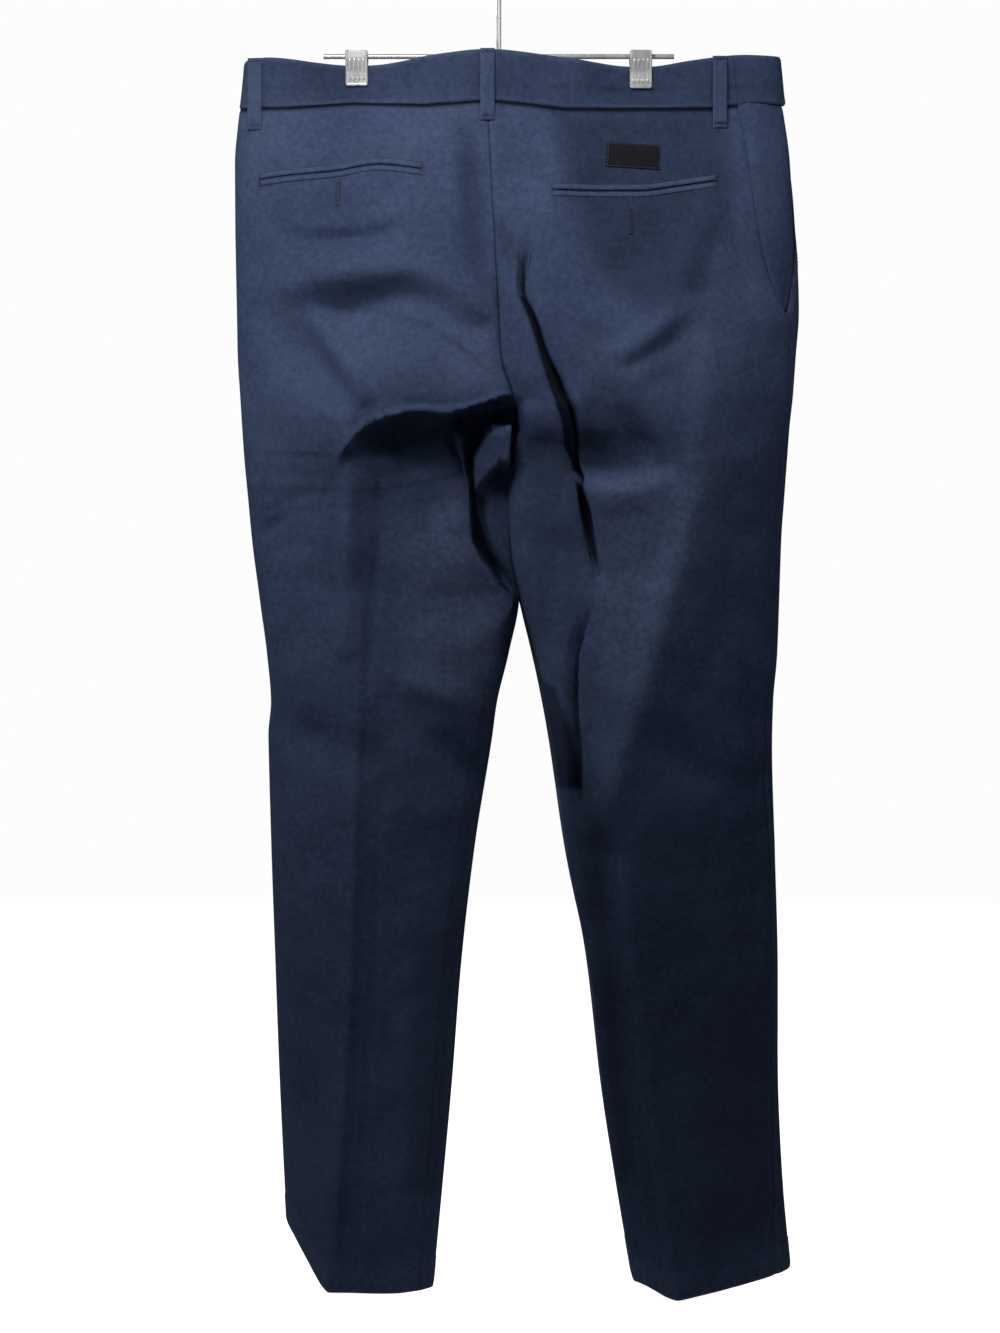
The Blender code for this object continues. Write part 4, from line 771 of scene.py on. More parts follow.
def leg_tube(leg):
    """One leg's outer surface as a grid: rows run down it, columns from the inner seam
    across the back to the side seam, then round the front to the inner seam again."""
    z = row_heights()
    edge, rear, fore = (table_at(table, z) for table in (leg.outline, leg.back, leg.front))
    seam_at, mouth_at = (table_at(line, z).place for line in (leg.seam, leg.mouth))
    mouth_at = np.where((z < POCKET_BOTTOM) | (seam_at - mouth_at < 0.03), seam_at, mouth_at)

    def tips(table, names):
        return [pair(getattr(table, f"{name}_x"), getattr(table, f"{name}_y")) for name in names]

    side, inner = tips(edge, ("side", "inner"))
    rear_turn = pair(edge.side_x, edge.side_y - rear.side_turn)
    rear_tips = tips(rear, ("turn", "crest", "lap", "edge", "crease")) + [rear_turn]
    fore_turn = pair(edge.side_x, edge.side_y + fore.side_turn)
    fore_crease, fore_in = tips(fore, ("crease", "turn"))
    fore_x = edge.inner_x + FRONT_SHIFT * smooth((z - FORK) / FRONT_SHIFT_OVER)
    fore_inner = pair(fore_x, np.where(z > FORK, fore.inner_y, edge.inner_y))
    mid_rear = (rear_tips[-1] + rear_tips[-2]) / 2
    mid_fore = (fore_turn + fore_crease) / 2
    mid_lap = (fore_crease + fore_in) / 2

    def side_point(place):
        """On the outer edge: place 1 is mid_rear, 0 the very edge, -1 mid_fore."""
        t = np.abs(place)[:, None]
        arcs = [
            side * (1 - t) ** 2 + 2 * turn * t * (1 - t) + middle * t * t
            for turn, middle in ((rear_turn, mid_rear), (fore_turn, mid_fore))
        ]
        return np.where(place[:, None] >= 0, *arcs)

    def level(point, to_inner):
        """Row height at a point: side height, then the crease's, then the inner seam's."""
        if to_inner:
            share = smooth((point[:, 0] - rear.crease_x) / (edge.inner_x - rear.crease_x))
            return edge.crease_z + (edge.inner_z - edge.crease_z) * share
        share = smooth((point[:, 0] - edge.side_x) / (rear.crease_x - edge.side_x))
        return edge.side_z + (edge.crease_z - edge.side_z) * share

    *turns, flank = BACK_COLUMNS
    points = [inner, *rounded(inner, rear_tips, (0.6, 0.45, 0.6, rear.fold, rear.crisp), turns)]
    halfway = len(points) - turns[-1] + turns[-1] // 2
    points += [side_point(1 + (seam_at - 1) * s) for s in steps(flank)]
    back_side = [(point, k < halfway) for k, point in enumerate(points)]

    flank, crease, lap = FRONT_COLUMNS
    front_side = [(side_point(mouth_at + (-1 - mouth_at) * s), False) for s in (0.0, *steps(flank))]
    front_side += [(corner(mid_fore, fore_crease, mid_lap, fore.crisp, s), s > 0.5) for s in steps(crease)]
    front_side += [(corner(mid_lap, fore_in, fore_inner, 1.0, s), True) for s in steps(lap)]

    shares = np.linspace(0, 1, FACING_COLUMNS)
    under = [(side_point(seam_at + (mouth_at - seam_at) * share), False) for share in shares]
    under.append((side_point(mouth_at - 0.25), False))

    fade = smooth(1 - (SEAT_TOP - z) / SEAM_FADE)[:, None]
    sheets = []
    for run in (back_side, front_side, under):
        points = np.stack([point for point, _ in run], axis=1)
        tall = np.stack([level(point, inwards) for point, inwards in run], axis=1)
        tall += fade * (np.interp(points[:1, :, 0], *zip(*SEAM_LINE)) - SEAT_TOP)
        sheets.append(np.dstack([points, tall]))
    return (*sheets, mouth_at != seam_at)


def split_edge(grid, last):
    """Narrows the cells beside a seam, so that the cloth can roll in to it."""
    if last:
        return split_edge(grid[:, ::-1], False)[:, ::-1]
    extra = [grid[:, 0] + (grid[:, 1] - grid[:, 0]) * share for share in (0.25, 0.55)]
    return np.concatenate([grid[:, :1], np.stack(extra, axis=1), grid[:, 1:]], axis=1)


def run_across(grid):
    """Each point's distance from the first column, along its row."""
    lengths = np.linalg.norm(np.diff(grid, axis=1), axis=-1)
    return np.pad(np.cumsum(lengths, axis=1), ((0, 0), (1, 0)))


def run_down(grid):
    """Each point's distance from the first row, down its column."""
    lengths = np.linalg.norm(np.diff(grid, axis=0), axis=-1)
    return np.pad(np.cumsum(lengths, axis=0), ((1, 0), (0, 0)))


def wall_mesh(name, outer, inner, offset, wear_and_shade=0.0):
    """A closed wall between two grids of the same shape, in millimetres, with each point's wear
    and its painted shade and painted light, and a UV map in metres along the cloth. The offset
    shifts the map, so that the pieces' twill doesn't look alike."""
    rows, columns = outer.shape[:2]
    back = rows * columns
    index = np.arange(back).reshape(rows, columns)
    quads = np.stack([index[:-1, :-1], index[1:, :-1], index[1:, 1:], index[:-1, 1:]], axis=-1)
    quads = quads.reshape(-1, 4)
    rim = np.concatenate([index[0, :-1], index[:-1, -1], index[-1, :0:-1], index[:0:-1, 0]])
    there = np.roll(rim, -1)
    sides = np.stack([rim, there, back + there, back + rim], axis=-1)
    faces = np.concatenate([quads, back + quads[:, ::-1], sides])
    points = np.concatenate([outer.reshape(-1, 3), inner.reshape(-1, 3)]) * MM
    first, second, third, fourth = points[faces].transpose(1, 0, 2)
    cross = np.cross(second - first, third - first) + np.cross(third - first, fourth - first)
    if (points[faces].mean(axis=1) * cross).sum() < 0:
        faces = faces[:, ::-1]
    mesh = bpy.data.meshes.new(f"fine_{name}")
    mesh.from_pydata(points.tolist(), [], faces.tolist())
    spread = np.stack([run_across(outer) * MM + offset, -run_down(outer) * MM], axis=-1).reshape(-1, 2)
    loops = np.empty(len(mesh.loops), np.int32)
    mesh.loops.foreach_get("vertex_index", loops)
    mesh.uv_layers.new(name="cloth_run").data.foreach_set("uv", np.tile(spread, (2, 1))[loops].ravel())
    tiled_wear_and_shade = np.tile(np.broadcast_to(wear_and_shade, (rows, columns)).ravel(), 2).astype(np.float32)
    mesh.attributes.new("wear_and_shade", "FLOAT", "POINT").data.foreach_set("value", tiled_wear_and_shade)
    mesh.shade_smooth()
    return mesh


def add_piece(mesh, material, replaces=()):
    """Links a finished piece, which rides on the garment's one body."""
    made = placed(mesh.name, mesh)
    mesh.materials.clear()
    mesh.materials.append(material)
    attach(made, "root")
    if replaces:
        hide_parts(*replaces)
    return made


def shared_normals(back_side, front_side, mouth_open, hand):
    """Both sheets' normals, made one where the sheets meet at the side seam and the inseam."""
    rear = surface_normals(back_side, hand)
    fore = surface_normals(front_side, hand)
    seam = unit(rear[:, -1] + fore[:, 0])
    joined = ~mouth_open
    rear[joined, -1] = seam[joined]
    fore[joined, 0] = seam[joined]
    above = back_side[:, 0, 2] > FORK
    inseam = unit(rear[:, 0] + fore[:, -1])
    for lean, column, turn in ((rear, 0, -1.0), (fore, -1, 1.0)):
        centre = lean[:, column] * np.array([0.0, 1.0, 1.0])
        centre[:, 1] = turn * np.maximum(np.abs(centre[:, 1]), 0.2)
        lean[:, column] = np.where(above[:, None], unit(centre), inseam)
    return rear, fore


def turned_to(lean, face):
    """How far each point of the cloth faces back or front, from 0 to 1."""
    return smooth((way_of(face) * lean[..., 1] - 0.1) / 0.5)


def centre_hold(sheet, last):
    """0 at the centre seam, where left and right meet, and 1 a little way from it."""
    run = run_across(sheet[:, ::-1])[:, ::-1] if last else run_across(sheet)
    above = smooth((sheet[..., 2] - FORK + FORK_BLEND / 2) / FORK_BLEND)
    return 1 - above * (1 - smooth(run / CENTRE_HOLD))


def creased(sheet, lean, leg, last):
    """The sheet moved by the creases, except along the centre seam."""
    x = sheet[..., 0]
    z = sheet[..., 2]
    to_back = turned_to(lean, "back")
    relief = (crease_relief(leg.creases, x, z) + cloth_ripple(x, z, leg.ripple)) * to_back
    front_relief = crease_relief(FRONT_CREASES, x, z) + cloth_ripple(x, z, leg.ripple + 1)
    relief += front_relief * turned_to(lean, "front")
    relief *= smooth((SEAT_TOP - z) / CREASE_FADE)
    moved = fold_flat(sheet + lean * relief[..., None], leg.facets, to_back)
    return sheet + (moved - sheet) * centre_hold(sheet, last)[..., None]


def make_panel(side, face, sheet, leg, finish):
    """A panel with its seams and hem turned in, its cloth rubbed at the edges, painted shadow under the
    waistband, and patches of painted shade and painted light on the back.
    """
    hand = hand_of(side)
    last = face == "front"
    sheet = split_edge(split_edge(sheet, False), True)
    lean = surface_normals(sheet, hand)
    across = run_across(sheet)
    rest = across[:, -1:] - across
    down = run_down(sheet)
    up = down[-1:] - down
    hem = smooth((HEM_DEPTH - up) / HEM_SOFT)
    pucker = bell(up - HEM_DEPTH, PUCKER_WIDTH) * (0.7 + 0.3 * np.sin(across * 0.7 + up))
    roll = -SEAM_ROLL * bell(across, SEAM_ROLL_WIDTH) - SEAM_ROLL * bell(rest, SEAM_ROLL_WIDTH)
    roll += -WAIST_ROLL * bell(down, WAIST_ROLL_WIDTH) - HEM_ROLL * bell(up, HEM_ROLL_WIDTH)
    roll += HEM_STEP * hem - HEM_PUCKER * pucker
    way = lean.copy()
    way[..., 0] *= centre_hold(sheet, last)
    outer = sheet + unit(way) * roll[..., None]
    for column, beside in ((0, 1), (-1, -2)):
        inward = sheet[:, beside] - sheet[:, column]
        inward[:, 2] = 0
        outer[:, column] += SEAM_GAP / 2 * unit(inward)
    inner = outer - lean * (CLOTH + HEM_LAYER * hem)[..., None]
    rubbed = bell(across, RUBBED_WIDTH) + bell(rest, RUBBED_WIDTH)
    sewn_in = bell(across, SEWN_IN_WIDTH) + bell(rest, SEWN_IN_WIDTH)
    wear_and_shade = 0.4 * rubbed - 0.85 * sewn_in + 0.8 * bell(up, HEM_WEAR_WIDTH) + 0.25 * hem
    # Painted shadow under the waistband's edge
    wear_and_shade = wear_and_shade - (BAND_SHADOW + wear_and_shade) * bell(down, BAND_SHADOW_WIDTH)
    # On the back panels, patches of painted shade, and of painted light where a patch's depth is negative
    if face == "back":
        wear_and_shade = wear_and_shade - painted_shade_and_light(sheet, leg.shades)
    name = f"{face}_panel_{side}"
    mesh = wall_mesh(name, outer, inner, hand * 0.37 + last * 1.3, wear_and_shade)
    return Panel(add_piece(mesh, finish, [name]), outer, lean, across, up)


def make_leg(side, leg, finish):
    """The two panels of one leg, and what the waistband and the facing are laid out from."""
    back_side, front_side, under, mouth_open = leg_tube(leg)
    rear, fore = shared_normals(back_side, front_side, mouth_open, hand_of(side))
    panels = {}
    for face, sheet, lean in (("back", back_side, rear), ("front", front_side, fore)):
        moved = creased(sheet, lean, leg, face == "front")
        panels[face] = make_panel(side, face, moved, leg, finish)
    lower = np.concatenate([back_side[0], under[0, 1 : FACING_COLUMNS - 1], front_side[0]])
    return panels, lower, back_side[0, -1], under, rear[:, -1], mouth_open


def band_grid(lower, shares):
    """The waistband's surface between the waist seam and the rim, pinched in the clips."""
    reach = np.abs(np.abs(lower[:, 0]) - abs(CLIPS[0].x))
    pinch = smooth(1 - (reach - PINCH_HALF) / PINCH_FADE)
    upper = lower.copy()
    upper[:, 0] *= RIM_INSET
    flat = np.sign(lower[:, 1]) * PINCHED
    upper[:, 1] = lower[:, 1] * RIM_LEAN * (1 - pinch) + flat * pinch
    upper[:, 2] = rim_height(upper[:, 0])
    rows = []
    for v in shares:
        held = smooth((v - PINCH_DEEP) / (1 - PINCH_DEEP))
        share = (v * (1 - pinch) + held * pinch)[:, None]
        row = upper + (lower - upper) * v
        row[:, 1:2] = upper[:, 1:2] + (lower - upper)[:, 1:2] * share
        rows.append(row)
    return np.array(rows)


def rim_height(x):
    """The waistband's top edge, drawn smoothly through the rim line's points."""
    across, heights = zip(*RIM_LINE)
    fine = np.linspace(across[0], across[-1], 240)
    return np.interp(x, fine, glide(across, heights, fine))


def make_waistband(side, lower, seam_point, finish):
    """The back and front waistband of one side."""
    hand = hand_of(side)
    lower = lower.copy()
    lower[:, 2] -= BAND_OVERLAP
    edges = ([0, 0.012, 0.03, 0.055], [0.945, 0.965, 0.985, 1.0])
    band = band_grid(lower, np.concatenate([edges[0], np.linspace(0.08, 0.92, 26), edges[1]]))
    lean = surface_normals(band, hand)
    relief = crease_relief(BAND_CREASES, band[..., 0], band[..., 2]) * turned_to(lean, "back")
    relief += 0.4 * cloth_ripple(band[..., 0], band[..., 2], BAND_RIPPLE) * np.sign(-lean[..., 1])
    down = run_down(band)
    up = down[-1:] - down
    relief += -bell(down, 1.6) + 0.25 * bell(up, 5.0) - 1.3 * bell(up, 1.1)
    band = band + lean * relief[..., None]
    wear_and_shade = 0.7 * bell(down, 2.5) + 0.4 * bell(up, 3.0) - 0.38
    split = int(np.argmin(np.linalg.norm(lower[:, :2] - seam_point[:2], axis=1)))
    pieces = {}
    for face, columns in (("back", slice(0, split + 1)), ("front", slice(split, None))):
        outer = band[:, columns]
        name = f"waistband_{face}_{side}"
        inner = outer - lean[:, columns] * BAND_CLOTH
        mesh = wall_mesh(name, outer, inner, hand * 0.9 + 3.1, wear_and_shade[:, columns])
        pieces[face] = (add_piece(mesh, finish, [name]), outer)
    return pieces


def make_facing(side, under, seam_normals, mouth_open, finish):
    """The slant pocket's facing: sewn to the back panel's side, under the front panel's mouth."""
    hand = hand_of(side)
    mouth_width = np.linalg.norm(under[:, -2] - under[:, 0], axis=-1)
    whole = int((mouth_open & (mouth_width > FACING_END)).sum())
    outer = under[: whole + 1].copy()
    shares = np.linspace(0, 1, outer.shape[1])[:, None]
    outer[-1] = outer[-1, :1] + (outer[-1, -1:] - outer[-1, :1]) * shares
    normals = surface_normals(outer, hand)
    normals[:, 0] = seam_normals[: whole + 1]
    away = np.linalg.norm(outer - outer[:, :1], axis=-1)
    span = np.linalg.norm(outer[:, -2] - outer[:, 0], axis=-1)[:, None]
    deep = (CLOTH + FACING_GAP) * smooth(away / np.maximum(0.8 * span, 3.0))
    deep[-1] = CLOTH + 2 * FACING_GAP
    deep += WAIST_ROLL * bell(run_down(outer), WAIST_ROLL_WIDTH)
    deep += SEAM_ROLL * bell(away, SEAM_ROLL_WIDTH)
    outer -= normals * deep[..., None]
    name = f"pocket_facing_{side}"
    mesh = wall_mesh(name, outer, outer - normals * TRIM_CLOTH, hand * 0.2 + 2.2)
    return add_piece(mesh, finish, [name]), outer


class Cover:
    """Finds the outside of the cloth, seen from the back or the front."""

    def __init__(self, pieces):
        points = []
        faces = []
        for piece in pieces:
            start = len(points)
            points += [v.co.copy() for v in piece.data.vertices]
            faces += [tuple(start + i for i in p.vertices) for p in piece.data.polygons]
        self.tree = BVHTree.FromPolygons(points, faces)

    def at(self, x, z, face):
        """The outermost y within a hair of this place, so that no ray slips through a seam."""
        way = way_of(face)
        hits = []
        for shift in (-0.5, 0.0, 0.5):
            spot = self.tree.ray_cast(Vector(((x + shift) * MM, way, z * MM)), Vector((0, -way, 0)))[0]
            if spot:
                hits.append(spot.y / MM)
        return max(hits, key=lambda y: way * y) if hits else math.nan

    def over(self, places, face):
        """The cloth's y at a grid of (x, z) places; a place past the cloth takes its neighbour's."""
        found = np.array([[self.at(x, z, face) for x, z in row] for row in places])
        count = len(found)
        for rows, step in ((range(1, count), 1), (range(count - 2, -1, -1), -1)):
            for r in rows:
                found[r] = np.where(np.isnan(found[r]), found[r - step], found[r])
        return found


def eased(values, reach):
    """Values down a strip, evened out as a stiff piece laid over them would be."""
    padded = np.pad(values, ((reach, reach), (0, 0)), mode="edge")
    weights = np.hanning(2 * reach + 3)[1:-1]
    weights /= weights.sum()
    return sum(w * padded[i : i + len(values)] for i, w in enumerate(weights))




def laid_wall(
    name, places, depth, face, lift, thick, finish, wear_and_shade=0.0, offset=0.0, nodes=()
):
    """A thin piece laid on the cloth: places is a grid of (x, z), lift its outside's stand-off."""
    way = way_of(face)
    outer = np.dstack([places[..., 0], depth + way * lift, places[..., 1]])
    inner = outer.copy()
    inner[..., 1] -= way * thick
    mesh = wall_mesh(name, outer, inner, offset, wear_and_shade)
    return add_piece(mesh, finish, nodes or [name]), outer


def make_loop(loop, cover, finish):
    """A belt loop: a stiff folded strip, tacked at both ends and standing off the band between."""
    top = rim_height(loop.x) + 0.4
    down = crowded([0, 0.01, 0.025], 0.05, 44)[:, None]
    half = np.array([0.2, 0.4, 0.62, 0.8, 0.92, 0.98, 1])
    across = np.concatenate([-half[::-1], [0], half])[None, :]
    x, z = np.broadcast_arrays(loop.x + across * LOOP_WIDTH / 2, top - down * LOOP_LENGTH)
    found = cover.over(np.dstack([x, np.minimum(z, top - 2.0)]), loop.face)
    depth = eased(found, 5)
    depth = depth.mean(axis=1, keepdims=True) * 0.6 + depth * 0.4
    crown = np.sqrt(np.maximum(1 - np.abs(across) ** 5, 0.0))
    bow = LOOP_LIFT * np.sin(math.pi * down) ** 0.6
    tack = sum(bell(down - place, 0.035) for place in TACK_PLACES)
    end = (1 - 0.7 * bell(1 - down, 0.012)) * (1 - 0.7 * bell(down, 0.012))
    lift = 0.25 + bow + (1.5 * crown - 0.35 * tack * crown) * end
    lift -= 0.22 * bell(np.abs(across) - 0.7, 0.1) * end
    wear_and_shade = 0.5 * bell(1 - np.abs(across), 0.2)
    places = np.dstack([x, z])
    piece, outer = laid_wall(loop.name, places, depth, loop.face, lift, 1.0, finish, wear_and_shade, loop.x * 0.01)
    return piece, outer, across[0], down[:, 0]


def make_welts(pocket, cover, finish):
    """A back pocket's two rolled welts, with the slit between them darkened by painted shade."""
    line_x, line_z = zip(*pocket.line)
    across = crowded([0, 0.002, 0.005, 0.01], 0.018, 84)
    x = line_x[0] + (line_x[-1] - line_x[0]) * across
    bead = np.array([0, 0.04, 0.12, 0.25, 0.42, 0.6, 0.78, 0.9, 0.97, 1.0])
    slit = WELT + WELT_SLIT * np.array([0.3, 0.7])
    down = np.concatenate([bead * WELT, slit, WELT + WELT_SLIT + bead * WELT])[:, None]
    places = np.dstack(np.broadcast_arrays(x, glide(line_x, line_z, x) - down))
    depth = cover.over(places, "back")
    depth = depth * 0.5 + depth.mean(axis=0, keepdims=True) * 0.5
    round_bead = WELT_RISE * np.sqrt(np.maximum(1 - np.abs(2 * bead - 1) ** 2.6, 0.0))
    profile = np.concatenate([round_bead, [-SLIT_DEPTH, -SLIT_DEPTH], round_bead])[:, None]
    ends = 1 - 0.9 * (bell(across * WELT_LENGTH, 1.6) + bell((1 - across) * WELT_LENGTH, 1.6))
    pucker = 0.1 * np.sin(x * 0.9 + 2.0) + 0.08 * np.sin(x * 2.1)
    lift = 0.15 + profile * ends + pucker * (profile > 0.3)
    # Painted shade darkens the slit between the welts
    wear_and_shade = 0.35 * (profile / WELT_RISE).clip(0, 1) - 2.0 * bell(down - WELT - WELT_SLIT / 2, 0.75)
    nodes = [f"pocket_welt_{place}_{pocket.side}" for place in ("upper", "lower")]
    name = f"pocket_welts_{pocket.side}"
    return laid_wall(name, places, depth, "back", lift, 1.6, finish, wear_and_shade, 5.0, nodes=nodes)


def make_label(cover, finish):
    """The bare black label over the right back pocket."""
    cos, sin = math.cos(LABEL_TURN), math.sin(LABEL_TURN)
    across = crowded([0, 0.01, 0.03], 0.06, 26) - 0.5
    up = (crowded([0, 0.02, 0.05], 0.1, 14) - 0.5)[::-1, None]
    x = across * LABEL_SIZE[0]
    z = up * LABEL_SIZE[1]
    places = np.dstack([LABEL_CENTRE[0] + x * cos - z * sin, LABEL_CENTRE[1] + x * sin + z * cos])
    depth = eased(cover.over(places, "back"), 2)
    edge = np.minimum((0.5 - np.abs(across)) * LABEL_SIZE[0], (0.5 - np.abs(up)) * LABEL_SIZE[1])
    lift = 0.35 + 0.7 * smooth((edge + 0.4) / 1.2) - 0.25 * bell(edge - 1.8, 0.7)
    lift += 0.10 * np.sin(x * 0.45 + z * 0.2)
    return laid_wall("back_label", places, depth, "back", lift, 0.7, finish)


def centre_front(z):
    """Where the centre front seam runs at a height."""
    rows = LEFT_OUTLINE[:6]
    return float(glide([row.inner_z for row in rows], [row.inner_x for row in rows], np.array([z]))[0])


def fly_width(z):
    """The lap's width at a height: straight, then turning in to the seam at its foot."""
    low = np.clip((z - FLY_BOTTOM) / FLY_BEND, 0.0, 1.0)
    return FLY_FOOT + (FLY_WIDTH - FLY_FOOT) * math.sqrt(1 - (1 - low) ** 2)


def make_fly(cover, finish):
    """The left front's lap over the right."""
    heights = np.concatenate([[SEAT_TOP - 1.5, SEAT_TOP - 2.2], np.linspace(SEAT_TOP - 4, FLY_BOTTOM, 60)])
    shares = crowded([0, 0.03, 0.07], 0.12, 20)
    edge = np.array([centre_front(z) + FLY_LAP for z in heights])[:, None]
    width = np.array([fly_width(z) for z in heights])[:, None]
    x = edge - width * (1 - shares)
    places = np.dstack(np.broadcast_arrays(x, heights[:, None]))
    depth = eased(cover.over(places, "front"), 3)
    foot = smooth((heights - FLY_BOTTOM + 0.5) / 4.0)[:, None]
    lift = 0.15 + (0.35 + smooth(shares / 0.25) * 1.4) * foot - 0.5 * bell(1 - shares, 0.03) * foot
    wear_and_shade = 0.5 * bell(1 - shares, 0.06)
    return laid_wall("fly_lap", places, depth, "front", lift, 1.0, finish, wear_and_shade, 6.0)


def ring_mesh(name, centres, radii, across, closed_ends=True, sides=20):
    """A round wire or turned piece: a ring of points at each centre, its size from radii.

    Each ring lies along Y and along its own direction of across.
    """
    turn = np.linspace(0, 2 * math.pi, sides, endpoint=False)[:, None]
    rings = [
        centre + radius * (np.cos(turn) * u + np.sin(turn) * np.array([0.0, 1.0, 0.0]))
        for centre, radius, u in zip(centres, radii, across)
    ]
    faces = []
    for r in range(len(rings) - closed_ends):
        here = r * sides
        there = (r + 1) % len(rings) * sides
        for k in range(sides):
            beside = (k + 1) % sides
            faces.append((here + k, here + beside, there + beside, there + k))
    if closed_ends:
        faces.append(tuple(reversed(range(sides))))
        faces.append(tuple(range((len(rings) - 1) * sides, len(rings) * sides)))
    mesh = bpy.data.meshes.new(f"fine_{name}")
    mesh.from_pydata((np.concatenate(rings) * MM).tolist(), [], faces)
    tidy_normals(mesh)
    mesh.shade_smooth()
    mesh.set_sharp_from_angle(angle=math.radians(40))
    return mesh


def tidy_normals(mesh):
    """Turns every face outwards."""
    shape = bmesh.new()
    shape.from_mesh(mesh)
    bmesh.ops.recalc_face_normals(shape, faces=shape.faces)
    if shape.calc_volume(signed=True) < 0:
        bmesh.ops.reverse_faces(shape, faces=shape.faces)
    shape.to_mesh(mesh)
    shape.free()


def add_wire(name, route, metal):
    """A wire along a route in the x-z plane, its ends rounded over."""
    route = np.asarray(route, float)
    along = unit(np.gradient(route, axis=0))
    across = np.stack([-along[:, 2], 0 * along[:, 0], along[:, 0]], axis=-1)
    radius = WIRE / 2
    rings = list(zip(route, [radius] * len(route), across))
    for reach, share in ((0.5, 0.87), (0.87, 0.5), (0.98, 0.17)):
        for end, way in ((0, -1), (-1, 1)):
            centre = route[end] + way * along[end] * radius * (reach - 1)
            rings.insert(0 if way < 0 else len(rings), (centre, radius * share, across[end]))
    return add_piece(ring_mesh(name, *zip(*rings)), metal, [name])


def hook_route():
    """Up from the bar, leaning over to the hook's right, then round to its open end."""
    ring = HOOK_RADIUS + WIRE / 2
    foot = BAR_Z + SLEEVE_RADIUS + 0.3
    route = [(0, 0, z) for z in np.linspace(foot, HOOK_NECK, 14)]
    for t in np.linspace(0, 1, 20)[1:-1]:
        route.append((ring * smooth(t), 0, HOOK_NECK + (-HOOK_NECK - HOOK_RADIUS) * t))
    for turn in np.radians(np.linspace(0, HOOK_TURN, 72)):
        route.append((ring * math.cos(turn), 0, -HOOK_RADIUS + ring * math.sin(turn)))
    return route


def turned_sleeve(name, x, length, metal, grooves):
    """A short turned tube round the bar, with softened ends and a groove or two."""
    end = length / 2
    inner = WIRE / 2 + 0.15
    outer = SLEEVE_RADIUS
    profile = [(-end, inner), (-end, outer - 0.6), (-end + 0.2, outer - 0.2), (-end + 0.6, outer)]
    for place in grooves:
        profile += [(place + shift, outer - deep) for shift, deep in GROOVE]
    profile += [(end - 0.6, outer), (end - 0.2, outer - 0.2), (end, outer - 0.6), (end, inner)]
    centres = [np.array([x + along, 0.0, BAR_Z]) for along, _ in profile]
    up = [np.array([0.0, 0.0, 1.0])] * len(profile)
    mesh = ring_mesh(name, centres, [radius for _, radius in profile], up, closed_ends=False, sides=40)
    return add_piece(mesh, metal, [name])


def jaw_relief(u, z, bottom, ribbed):
    """How proud the jaw's face stands: a rim down both sides and along the bottom, and ribs
    that end in teeth just above it. u runs from -1 to 1 across the jaw."""
    from_side = (1 - np.abs(u)) * CLIP_WIDTH / 2
    rim = np.maximum(bell(from_side - 0.8, 0.55, 4), bell(z - bottom - 0.9, 0.6, 4))
    proud = 0.55 * rim
    if not ribbed:
        return proud
    foot = bottom + 4.2
    body = smooth((z - foot - 2.4) / 0.6) * smooth((BAR_Z - 2.0 - z) / 2.5)
    tooth = smooth((z - foot) / 0.8) * (z < foot + 3.2)
    width = 0.55 + 0.5 * smooth(1 - (z - foot - 2.0) / 2.0)
    narrow = np.where(z < foot + 2.4, np.clip((z - foot) / 2.4, 0.05, 1) * 1.25, width)
    for place in JAW_RIBS:
        apart = np.abs(u - place) * CLIP_WIDTH / 2
        proud = np.maximum(proud, 0.75 * np.maximum(body, tooth) * bell(apart, narrow, 4))
    return proud


def corner_cut(radius, distance):
    """How far a round corner cuts in, at a distance from the edge that it leaves."""
    return radius - np.sqrt(np.maximum(radius**2 - np.maximum(radius - distance, 0) ** 2, 0))


def make_jaw(clip, face, metal):
    """A pressed plate hung on the bar: over its shoulder, in to the cloth, down to a lip."""
    way = way_of(face)
    top = BAR_Z + JAW_RISE
    grip = PINCHED + 0.45
    shoulder = SLEEVE_RADIUS + 0.3
    z = np.linspace(top, clip.bottom, 110)[:, None]
    bends = [clip.bottom, BAR_Z - 12.0, BAR_Z - 2.0, top]
    depth = eased(np.interp(z, bends, [grip, grip, shoulder, shoulder]), 6)
    u = np.concatenate([[-1, -0.985, -0.96], np.linspace(-0.93, 0.93, 66), [0.96, 0.985, 1]])
    from_foot = z - clip.bottom
    half = CLIP_WIDTH / 2 - corner_cut(2.6, from_foot) - corner_cut(1.6, top - z)
    edge = (1 - np.abs(u)) * half
    soft = 0.35 * bell(edge, 0.25) + 0.35 * bell(from_foot, 0.25)
    plate = 1.1 + 0.5 * bell(from_foot, 1.6, 4)
    thick = plate + jaw_relief(u, z, clip.bottom, face == "back") - soft
    x, z, depth = np.broadcast_arrays(clip.x + u * half, z, depth)
    name = f"clip_jaw_{face}_{clip.side}"
    mesh = wall_mesh(name, np.dstack([x, way * (depth + thick), z]), np.dstack([x, way * depth, z]), 0.0)
    return add_piece(mesh, metal, [name])


def make_hanger(metal):
    """The wire bar and hook, their sleeves and the two clips."""
    add_wire("hanger_bar", [(x, 0, BAR_Z) for x in np.linspace(-BAR_HALF, BAR_HALF, 60)], metal)
    add_wire("hanger_hook", hook_route(), metal)
    turned_sleeve("hook_sleeve", 0.0, 12.0, metal, (-3.0, 3.0))
    for clip in CLIPS:
        turned_sleeve(f"clip_sleeve_{clip.side}", clip.x, CLIP_WIDTH - 2, metal, (-5.5, 5.5))
        for face in ("back", "front"):
            make_jaw(clip, face, metal)


